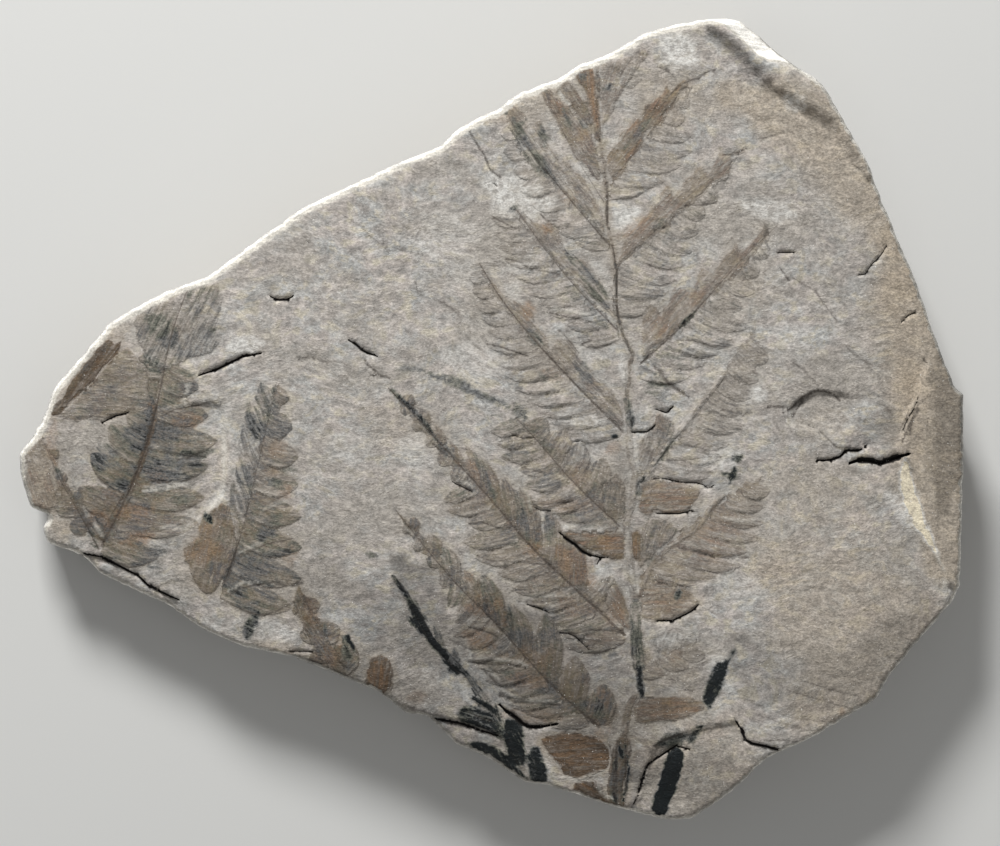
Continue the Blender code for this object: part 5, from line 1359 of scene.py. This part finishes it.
layer = mesh.attributes.new("leaf", "FLOAT_VECTOR", "POINT")
layer.data.foreach_set("vector", fill_to(fern.leaf, 0.0).astype(np.float32).ravel())
mesh.shade_smooth()
print(len(mesh.vertices), "vertices,", len(mesh.polygons), "faces")

# %% [markdown]
# ## The finish
# The whole plate has one material, as it is one stone. Its colour is laid on in the order that it
# came about: bare shale, weathering, scrapes, the brown film of the leaves, rust, carbon, and last
# the dark lines of margins, axes and cracks. A small kit of node helpers keeps each layer short.

# %% A kit for shader nodes
class Kit:
    """Adds nodes to one material and links them as they are made."""

    def __init__(self, name):
        self.material = bpy.data.materials.new(name)
        self.material.use_nodes = True
        self.tree = self.material.node_tree
        self.shader = self.tree.nodes["Principled BSDF"]

    def feed(self, socket, value):
        if isinstance(value, bpy.types.NodeSocket):
            self.tree.links.new(value, socket)
        elif isinstance(value, tuple) and len(value) == 3 and socket.type == "RGBA":
            socket.default_value = value + (1.0,)
        else:
            socket.default_value = value

    def attribute(self, name, output="Fac"):
        node = self.tree.nodes.new("ShaderNodeAttribute")
        node.attribute_name = name
        return node.outputs[output]

    def math(self, operation, *values, clamp=False):
        node = self.tree.nodes.new("ShaderNodeMath")
        node.operation = operation
        node.use_clamp = clamp
        for socket, value in zip(node.inputs, values):
            self.feed(socket, value)
        return node.outputs[0]

    def plus(self, first, second):
        return self.math("ADD", first, second)

    def scaled(self, value, by):
        return self.math("MULTIPLY", value, by)

    def times(self, *values):
        """Multiply masks, and keep each product between 0 and 1."""
        product = values[0]
        for value in values[1:]:
            product = self.math("MULTIPLY", product, value, clamp=True)
        return product

    def ramp(self, value, start, end, low=0.0, high=1.0):
        """Go smoothly from low to high as a value goes from start to end."""
        node = self.tree.nodes.new("ShaderNodeMapRange")
        node.interpolation_type = "SMOOTHSTEP"
        for socket, item in zip(node.inputs, (value, start, end, low, high)):
            self.feed(socket, item)
        return node.outputs[0]

    def threads(self, value, core, fade):
        """Thin wandering lines, where a noise crosses its middle value."""
        off_middle = self.math("ABSOLUTE", self.math("SUBTRACT", value, 0.5))
        return self.ramp(off_middle, core, fade, 1.0, 0.0)

    def vector(self, operation, first, second):
        node = self.tree.nodes.new("ShaderNodeVectorMath")
        node.operation = operation
        self.feed(node.inputs[0], first)
        self.feed(node.inputs[1], second)
        return node.outputs[0]

    def noise(self, vector, scale, detail=3.0, roughness=0.55, output="Fac"):
        """A noise with so many waves to the metre along each axis."""
        node = self.tree.nodes.new("ShaderNodeTexNoise")
        self.feed(node.inputs["Vector"], self.vector("MULTIPLY", vector, scale))
        self.feed(node.inputs["Scale"], 1.0)
        self.feed(node.inputs["Detail"], detail)
        self.feed(node.inputs["Roughness"], roughness)
        return node.outputs[output]

    def mix(self, amount, under, over, blend="MIX"):
        """Lay one colour over another."""
        node = self.tree.nodes.new("ShaderNodeMix")
        node.data_type = "RGBA"
        node.blend_type = blend
        self.feed(node.inputs[0], amount)
        self.feed(node.inputs[6], under)
        self.feed(node.inputs[7], over)
        return node.outputs[2]

    def shade(self, colour, value, darkest, palest):
        """Multiply a colour by a noise, drawn out to between two brightnesses."""
        return self.mix(1.0, colour, self.ramp(value, 0.3, 0.7, darkest, palest), "MULTIPLY")


kit = Kit("fossil_shale")
place = kit.tree.nodes.new("ShaderNodeTexCoord").outputs["Object"]
print("material", kit.material.name)

# %% [markdown]
# ### Bare shale
# Shale is mud and silt pressed flat. Seen on a split face it is a warm grey with cloudy patches,
# short wavy streaks where the grain tore, fine grit, and sparks of mica. Each is a noise at its
# own scale, given here in waves to the metre. The streaks wander, because the place that they are
# worked out from is first pushed about by a slow noise.

# %% Bare shale
WARM_GREY, COOL_GREY = (0.455, 0.412, 0.376), (0.405, 0.402, 0.385)
BUFF_SPOT, DIM_SPOT = (0.48, 0.44, 0.36), (0.345, 0.322, 0.298)
CLOUD_GREY = (0.372, 0.342, 0.304)
HAIR_BROWN = (0.16, 0.14, 0.12)
HALF = (0.5, 0.5, 0.5)


def pushed(reach):
    """The place on the stone, pushed about by the slow noise, by up to half a reach in metres."""
    return kit.vector("ADD", place, kit.vector("MULTIPLY", drift, reach))


drift = kit.noise(place, (60.0, 60.0, 60.0), 2.0, 0.5, "Color")
drift = kit.vector("SUBTRACT", drift, HALF)
wavy = pushed((0.007, 0.007, 0.0))
clouds = kit.noise(place, (90.0, 120.0, 90.0))
tints = kit.noise(place, (230.0, 270.0, 240.0), 2.0)
streaks = kit.noise(wavy, (480.0, 850.0, 700.0), 4.0, 0.6)
mottle = kit.noise(wavy, (1100.0, 1400.0, 1200.0), 3.0, 0.65)
grit = kit.noise(place, (2700.0, 3300.0, 3000.0), 2.0, 0.6)
blots = kit.noise(wavy, (420.0, 560.0, 500.0), 2.0, 0.6)
hairs = kit.threads(kit.noise(wavy, (170.0, 900.0, 400.0), 2.0, 0.6), 0.004, 0.03)
colour = kit.mix(kit.ramp(tints, 0.38, 0.62), WARM_GREY, COOL_GREY)
colour = kit.mix(kit.ramp(blots, 0.5, 0.68), colour, BUFF_SPOT)
colour = kit.mix(kit.ramp(blots, 0.5, 0.32), colour, DIM_SPOT)
colour = kit.mix(kit.ramp(clouds, 0.35, 0.7), colour, CLOUD_GREY)
colour = kit.shade(colour, streaks, 0.8, 1.2)
colour = kit.shade(colour, mottle, 0.82, 1.18)
colour = kit.shade(colour, grit, 0.82, 1.18)
hair_mask = kit.times(hairs, kit.ramp(streaks, 0.42, 0.6), kit.ramp(clouds, 0.4, 0.6), 0.6)
colour = kit.mix(hair_mask, colour, HAIR_BROWN)
print("bare shale laid")

# %% [markdown]
# ### Weathered and scraped stone
# Open air turns shale tan, and a tool or a knock scrapes it pale and chalky. One wedge on the right
# is cream stone painted brighter still: painted highlight on a facet that faces the light. Both keep
# the stone's own grit, so each colour is shaded by the same noises and only its strength comes from
# the strokes.

# %% Weathered and scraped stone
TAN = (0.40, 0.335, 0.255)
CHALK, LIT_CREAM = (0.68, 0.665, 0.625), (0.80, 0.72, 0.55)
weathered_mask = kit.times(kit.attribute("weathered"), kit.ramp(clouds, 0.2, 0.7, 1.1, 0.6))
tan = kit.shade(kit.shade(TAN, grit, 0.75, 1.25), mottle, 0.8, 1.2)
colour = kit.mix(weathered_mask, colour, kit.shade(tan, blots, 0.85, 1.15))
scraped_depth = kit.attribute("scraped")
scraped_mask = kit.times(scraped_depth, kit.ramp(mottle, 0.35, 0.65, 0.3, 1.1))
# The cream is the wedge's colour, with painted highlight.
scraped_colour = kit.mix(kit.ramp(scraped_depth, 1.0, 1.25), CHALK, LIT_CREAM)
colour = kit.mix(scraped_mask, colour, kit.shade(scraped_colour, grit, 0.85, 1.15))
print("weathering and scrapes laid")

# %% [markdown]
# ### The leaf film
# The film is thin and fades in and out. Inside a leaflet the colour runs in fine stripes along it,
# the last trace of its veins, so this noise is worked out in the leaflet's own directions. Just
# outside a leaflet the stone is paler, where the pressed leaf sealed it.

# %% Leaf film
HALO_GREY, WASH_BROWN = (0.56, 0.525, 0.465), (0.25, 0.198, 0.14)
OLIVE_FILM, RED_FILM, THIN_VEIN = (0.22, 0.172, 0.112), (0.232, 0.158, 0.115), (0.12, 0.09, 0.058)
RICH_FILM, RICH_VEIN = (0.14, 0.094, 0.058), (0.075, 0.05, 0.031)
leaf = kit.attribute("leaf", "Vector")
veins = kit.noise(leaf, (0.2, 1.5, 37.0), 3.0, 0.65)
margin = kit.attribute("margin")
film = kit.attribute("film")
on_leaf = kit.ramp(kit.plus(margin, kit.scaled(mottle, 0.7)), 0.25, 0.65)
just_outside = kit.times(kit.ramp(margin, -0.8, -0.3), kit.ramp(margin, -0.2, 0.1, 1.0, 0.0))
halo = kit.times(just_outside, kit.ramp(mottle, 0.35, 0.6))
colour = kit.mix(kit.scaled(halo, 0.3), colour, HALO_GREY)
patchy = kit.plus(kit.scaled(veins, 0.7), kit.scaled(mottle, 0.3))
film_mask = kit.times(on_leaf, film, kit.ramp(patchy, 0.36, 0.64, 1.2, 0.55))
wash = kit.times(kit.ramp(kit.plus(margin, mottle), -1.0, 0.7), film, 0.36)
colour = kit.mix(wash, colour, WASH_BROWN)
colour = kit.mix(on_leaf, colour, kit.shade(colour, veins, 0.84, 1.1))
on_vein = kit.ramp(veins, 0.36, 0.62)
thin_film = kit.mix(kit.ramp(tints, 0.42, 0.6), OLIVE_FILM, RED_FILM)
thin_film = kit.mix(on_vein, thin_film, THIN_VEIN)
rich_film = kit.mix(on_vein, RICH_FILM, RICH_VEIN)
film_colour = kit.mix(kit.ramp(film, 0.85, 1.25), thin_film, rich_film)
film_colour = kit.shade(kit.shade(film_colour, grit, 0.8, 1.2), blots, 0.85, 1.15)
colour = kit.mix(film_mask, colour, film_colour)
print("film laid")

# %% [markdown]
# ### Fibres, painted crest highlights and rust
# Dark fibres run along the leaflets. The side of a leaflet that stands proud gets a paler crest:
# painted highlight where its face tilts up toward the light. Iron has rusted some leaflets to orange
# brown. Fibres and rust go over the film, because on the real stone they came after it.

# %% Fibres, crests and rust
FIBRE_BLACK, CREST_HIGHLIGHT, RUST = (0.07, 0.06, 0.05), (0.50, 0.455, 0.395), (0.30, 0.175, 0.095)
fibres = kit.threads(kit.noise(leaf, (0.25, 1.2, 53.0), 2.0, 0.5), 0.01, 0.06)
fibres = kit.times(fibres, on_leaf, kit.ramp(tints, 0.35, 0.6), kit.ramp(mottle, 0.35, 0.55))
fibres = kit.times(fibres, kit.ramp(film, 0.2, 0.8, 0.25, 0.6))
colour = kit.mix(fibres, colour, FIBRE_BLACK)
under = kit.attribute("under")
# Painted highlight: the proud side of each leaflet is painted paler.
crest_highlight = kit.times(kit.ramp(under, 0.15, 0.95), on_leaf, kit.ramp(clouds, 0.35, 0.6, 0.4, 1.0), 0.7)
colour = kit.mix(crest_highlight, colour, kit.shade(CREST_HIGHLIGHT, veins, 0.85, 1.2))
rust_mask = kit.times(kit.attribute("rusty"), kit.ramp(veins, 0.3, 0.75, 1.1, 0.35))
rust_colour = kit.shade(kit.shade(RUST, veins, 1.25, 0.6), grit, 0.75, 1.25)
colour = kit.mix(kit.scaled(rust_mask, 0.88), colour, rust_colour)
print("fibres, crests and rust laid")

# %% [markdown]
# ### Carbon
# Where carbon is left it is blue-black, breaks up into flakes, and is a little glossy. How much of
# the ground the flakes cover is the strength of the stain there, so a flaky noise is compared with
# it: a weak stain is a few specks, a strong one is solid.

# %% Carbon
OLIVE_CARBON, GREY_CARBON, THICK_CARBON = (0.12, 0.125, 0.1), (0.12, 0.123, 0.122), (0.005, 0.008, 0.009)
flakes = kit.noise(wavy, (1500.0, 2100.0, 1800.0), 4.0, 0.7)
scatter = kit.plus(kit.scaled(flakes, 0.35), kit.scaled(veins, 0.65))
leaf_carbon = kit.scaled(kit.attribute("fern_ink"), kit.ramp(tints, 0.36, 0.6, 0.5, 1.2))
cover = kit.math("MAXIMUM", kit.attribute("ink"), kit.scaled(leaf_carbon, on_leaf))
there = kit.ramp(cover, 0.0, 0.15)
uneven = kit.plus(cover, kit.ramp(scatter, 0.35, 0.65, 0.35, -0.35))
carbon_mask = kit.times(kit.ramp(uneven, 0.0, 0.8), there)
thin_carbon = kit.mix(kit.ramp(tints, 0.4, 0.6), OLIVE_CARBON, GREY_CARBON)
carbon_colour = kit.mix(kit.ramp(uneven, 0.65, 1.0), thin_carbon, THICK_CARBON)
carbon_colour = kit.shade(carbon_colour, grit, 0.65, 1.35)
opacity = kit.scaled(carbon_mask, kit.ramp(cover, 0.4, 0.9, 0.92, 1.0))
colour = kit.mix(opacity, colour, carbon_colour)
print("carbon laid")

# %% [markdown]
# ### Lines
# Margins are drawn by a dark line as thin as a hair, strongest on a leaflet's proud side: painted
# shadow under its raised edge. Axes get a thin dark line too. Creases get a wider dark line, painted
# shade in the creases, and open cracks are black because no light comes back out of them. Edges that
# catch the light are pale. They come from the same distances as the relief, so the colour sits
# exactly on the shape.

# %% Lines
SHADOW_AND_AXIS_BROWN, CREASE_SHADE = (0.075, 0.058, 0.046), (0.06, 0.05, 0.042)
GLINT_WHITE, CRACK_BLACK = (0.70, 0.67, 0.60), (0.012, 0.010, 0.009)
at_margin = kit.ramp(kit.math("ABSOLUTE", kit.attribute("edge")), 0.03, 0.17, 1.0, 0.0)
# Painted shadow: the margin line darkens most on the proud side of a leaflet, where its raised edge casts
# shade.
margin_shadow = kit.times(at_margin, kit.ramp(under, 0.0, 0.8, 0.06, 0.6))
margin_shadow = kit.times(margin_shadow, kit.ramp(mottle, 0.33, 0.58), kit.ramp(tints, 0.35, 0.55, 0.35, 1.0))
stem_line = kit.ramp(kit.attribute("stem"), 0.10, 0.32, 0.7, 0.0)
stem_line = kit.times(stem_line, kit.ramp(mottle, 0.3, 0.5, 0.4, 1.0))
colour = kit.mix(kit.math("MAXIMUM", margin_shadow, stem_line), colour, SHADOW_AND_AXIS_BROWN)
rough_edge = kit.ramp(flakes, 0.32, 0.6, 0.35, 1.0)
# Painted shade: the creases are darkened along their line.
crease_shade_mask = kit.times(kit.ramp(kit.attribute("crease"), 0.1, 0.75), rough_edge, 0.85)
colour = kit.mix(crease_shade_mask, colour, CREASE_SHADE)
colour = kit.mix(kit.times(kit.attribute("glint"), rough_edge), colour, GLINT_WHITE)
colour = kit.mix(kit.ramp(kit.attribute("crack"), 0.15, 0.5), colour, CRACK_BLACK)
print("lines laid")

# %% [markdown]
# ### Wall, rim and painted shade
# The broken wall shows the layers edge on: bands that run level round the slab. The chipped rim and
# the scarp at the upper right are painted paler than the face, up to near white where they fall
# farthest: painted highlight where they face the light. Last the painted shade darkens the colour
# where its strokes lie.

# %% Wall and rim
PALE_LAYER, DARK_LAYER, RUSTY_LAYER = (0.47, 0.42, 0.355), (0.27, 0.24, 0.205), (0.33, 0.24, 0.15)
RIM_HIGHLIGHT, SCARP_HIGHLIGHT = (0.56, 0.53, 0.47), (0.93, 0.90, 0.84)
level = pushed((0.0, 0.0, 0.0025))
bands = kit.noise(level, (28.0, 28.0, 750.0), 3.0, 0.6)
laminae = kit.noise(level, (40.0, 40.0, 2600.0), 3.0, 0.7)
wall_colour = kit.mix(kit.ramp(bands, 0.38, 0.62), PALE_LAYER, DARK_LAYER)
rusty_layers = kit.times(kit.ramp(tints, 0.5, 0.7), kit.ramp(bands, 0.45, 0.6))
wall_colour = kit.mix(rusty_layers, wall_colour, RUSTY_LAYER)
wall_colour = kit.shade(kit.shade(wall_colour, laminae, 0.68, 1.22), mottle, 0.85, 1.15)
on_wall = kit.attribute("wall")
colour = kit.mix(on_wall, colour, kit.shade(wall_colour, grit, 0.75, 1.2))
on_rim = kit.attribute("rim")
# Painted highlight: the rim and the scarp face the light, so they are painted pale, near white where they
# fall farthest.
rim_highlight_mask = kit.ramp(kit.plus(on_rim, kit.scaled(mottle, 0.4)), 0.25, 0.5)
stripes = kit.noise(pushed((0.002, 0.002, 0.0)), (120.0, 1500.0, 120.0), 2.0)
rim_highlight_colour = kit.mix(kit.ramp(on_rim, 0.45, 0.8), RIM_HIGHLIGHT, SCARP_HIGHLIGHT)
rim_highlight_colour = kit.shade(kit.shade(rim_highlight_colour, grit, 0.8, 1.2), stripes, 0.75, 1.2)
colour = kit.mix(rim_highlight_mask, colour, rim_highlight_colour)
# Painted shade: the shade strokes darken the colour, to a little over half at full strength.
colour = kit.mix(1.0, colour, kit.ramp(kit.attribute("painted_shade"), 0.0, 1.0, 1.0, 0.56), "MULTIPLY")
print("wall and rim laid")

# %% [markdown]
# ### Grain and shine
# The finest grain is too small for the mesh, so it is bump: streaks first, then grit. Shale is
# dull, carbon less so, and mica flakes shine.

# %% Grain and shine
MICA = (0.85, 0.83, 0.78)
GRAIN_DEPTH = 0.19 * MM
sparks = kit.ramp(kit.noise(place, (4300.0, 4300.0, 4300.0), 1.0), 0.72, 0.77)
sparks = kit.times(sparks, kit.ramp(carbon_mask, 0.0, 0.7, 0.8, 0.1))
colour = kit.mix(sparks, colour, MICA)
kit.feed(kit.shader.inputs["Base Color"], colour)
kit.shader.inputs["Specular IOR Level"].default_value = 0.3
gloss = kit.math("SUBTRACT", 0.9, kit.scaled(carbon_mask, 0.2))
kit.feed(kit.shader.inputs["Roughness"], kit.math("SUBTRACT", gloss, kit.scaled(sparks, 0.4)))
relief = kit.plus(kit.scaled(streaks, 0.9), kit.scaled(grit, 0.4))
relief = kit.plus(relief, kit.scaled(mottle, 0.7))
relief = kit.plus(relief, kit.scaled(kit.scaled(veins, on_leaf), 0.6))
relief = kit.plus(relief, kit.scaled(kit.scaled(laminae, on_wall), 2.0))
bump = kit.tree.nodes.new("ShaderNodeBump")
bump.inputs["Strength"].default_value = 1.0
bump.inputs["Distance"].default_value = GRAIN_DEPTH
kit.feed(bump.inputs["Height"], relief)
kit.feed(kit.shader.inputs["Normal"], bump.outputs["Normal"])
mesh.materials.append(kit.material)
print(len(kit.tree.nodes), "nodes in the finish")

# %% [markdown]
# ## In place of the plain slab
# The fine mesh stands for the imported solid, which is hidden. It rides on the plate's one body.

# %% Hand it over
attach(plate, "root")
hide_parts("shale_slab")

# %% [markdown]
# ## Table, light and camera
# The slab lies on a plain pale table. Low light from the far side rakes across the face, as one
# lights a fossil to bring out its relief, and is soft enough to leave no hard shadow. The camera
# looks straight down.

# %% Table
TABLE_SIZE, TABLE_COLOUR, TABLE_ROUGHNESS = 4.0, (0.66, 0.66, 0.64, 1.0), 0.9
bpy.ops.mesh.primitive_plane_add(size=TABLE_SIZE)
floor = bpy.context.object
floor.name = "table"
table_material = bpy.data.materials.new("pale_table")
table_material.use_nodes = True
table_shader = table_material.node_tree.nodes["Principled BSDF"]
table_shader.inputs["Base Color"].default_value = TABLE_COLOUR
table_shader.inputs["Roughness"].default_value = TABLE_ROUGHNESS
floor.data.materials.append(table_material)

# %% Light
GLOW = 0.2  # of the white surroundings


def soft_light(name, place, size, power):
    """A square softbox that faces the slab."""
    lamp = bpy.data.lights.new(name, "AREA")
    lamp.size = size
    lamp.energy = power
    box = bpy.data.objects.new(name, lamp)
    box.location = place
    box.rotation_euler = (-Vector(place)).to_track_quat("-Z", "Y").to_euler()
    bpy.context.scene.collection.objects.link(box)


soft_light("key", place=(-0.22, 0.72, 0.50), size=0.22, power=9.8)
soft_light("fill", place=(0.3, -0.5, 1.1), size=1.2, power=2.0)
world = bpy.data.worlds.new("studio")
world.use_nodes = True
glow = world.node_tree.nodes["Background"]
glow.inputs["Color"].default_value = (1.0, 1.0, 1.0, 1.0)
glow.inputs["Strength"].default_value = GLOW
bpy.context.scene.world = world
bpy.context.scene.view_settings.view_transform = "Standard"

# %% Camera
LENS_LENGTH = 113.7  # in millimetres
CAMERA_PLACE = (0.0015, -0.0006, 0.518)
lens = bpy.data.cameras.new("camera")
lens.lens = LENS_LENGTH
lens.clip_end = 10.0
camera = bpy.data.objects.new("camera", lens)
camera.location = CAMERA_PLACE
bpy.context.scene.collection.objects.link(camera)
bpy.context.scene.camera = camera
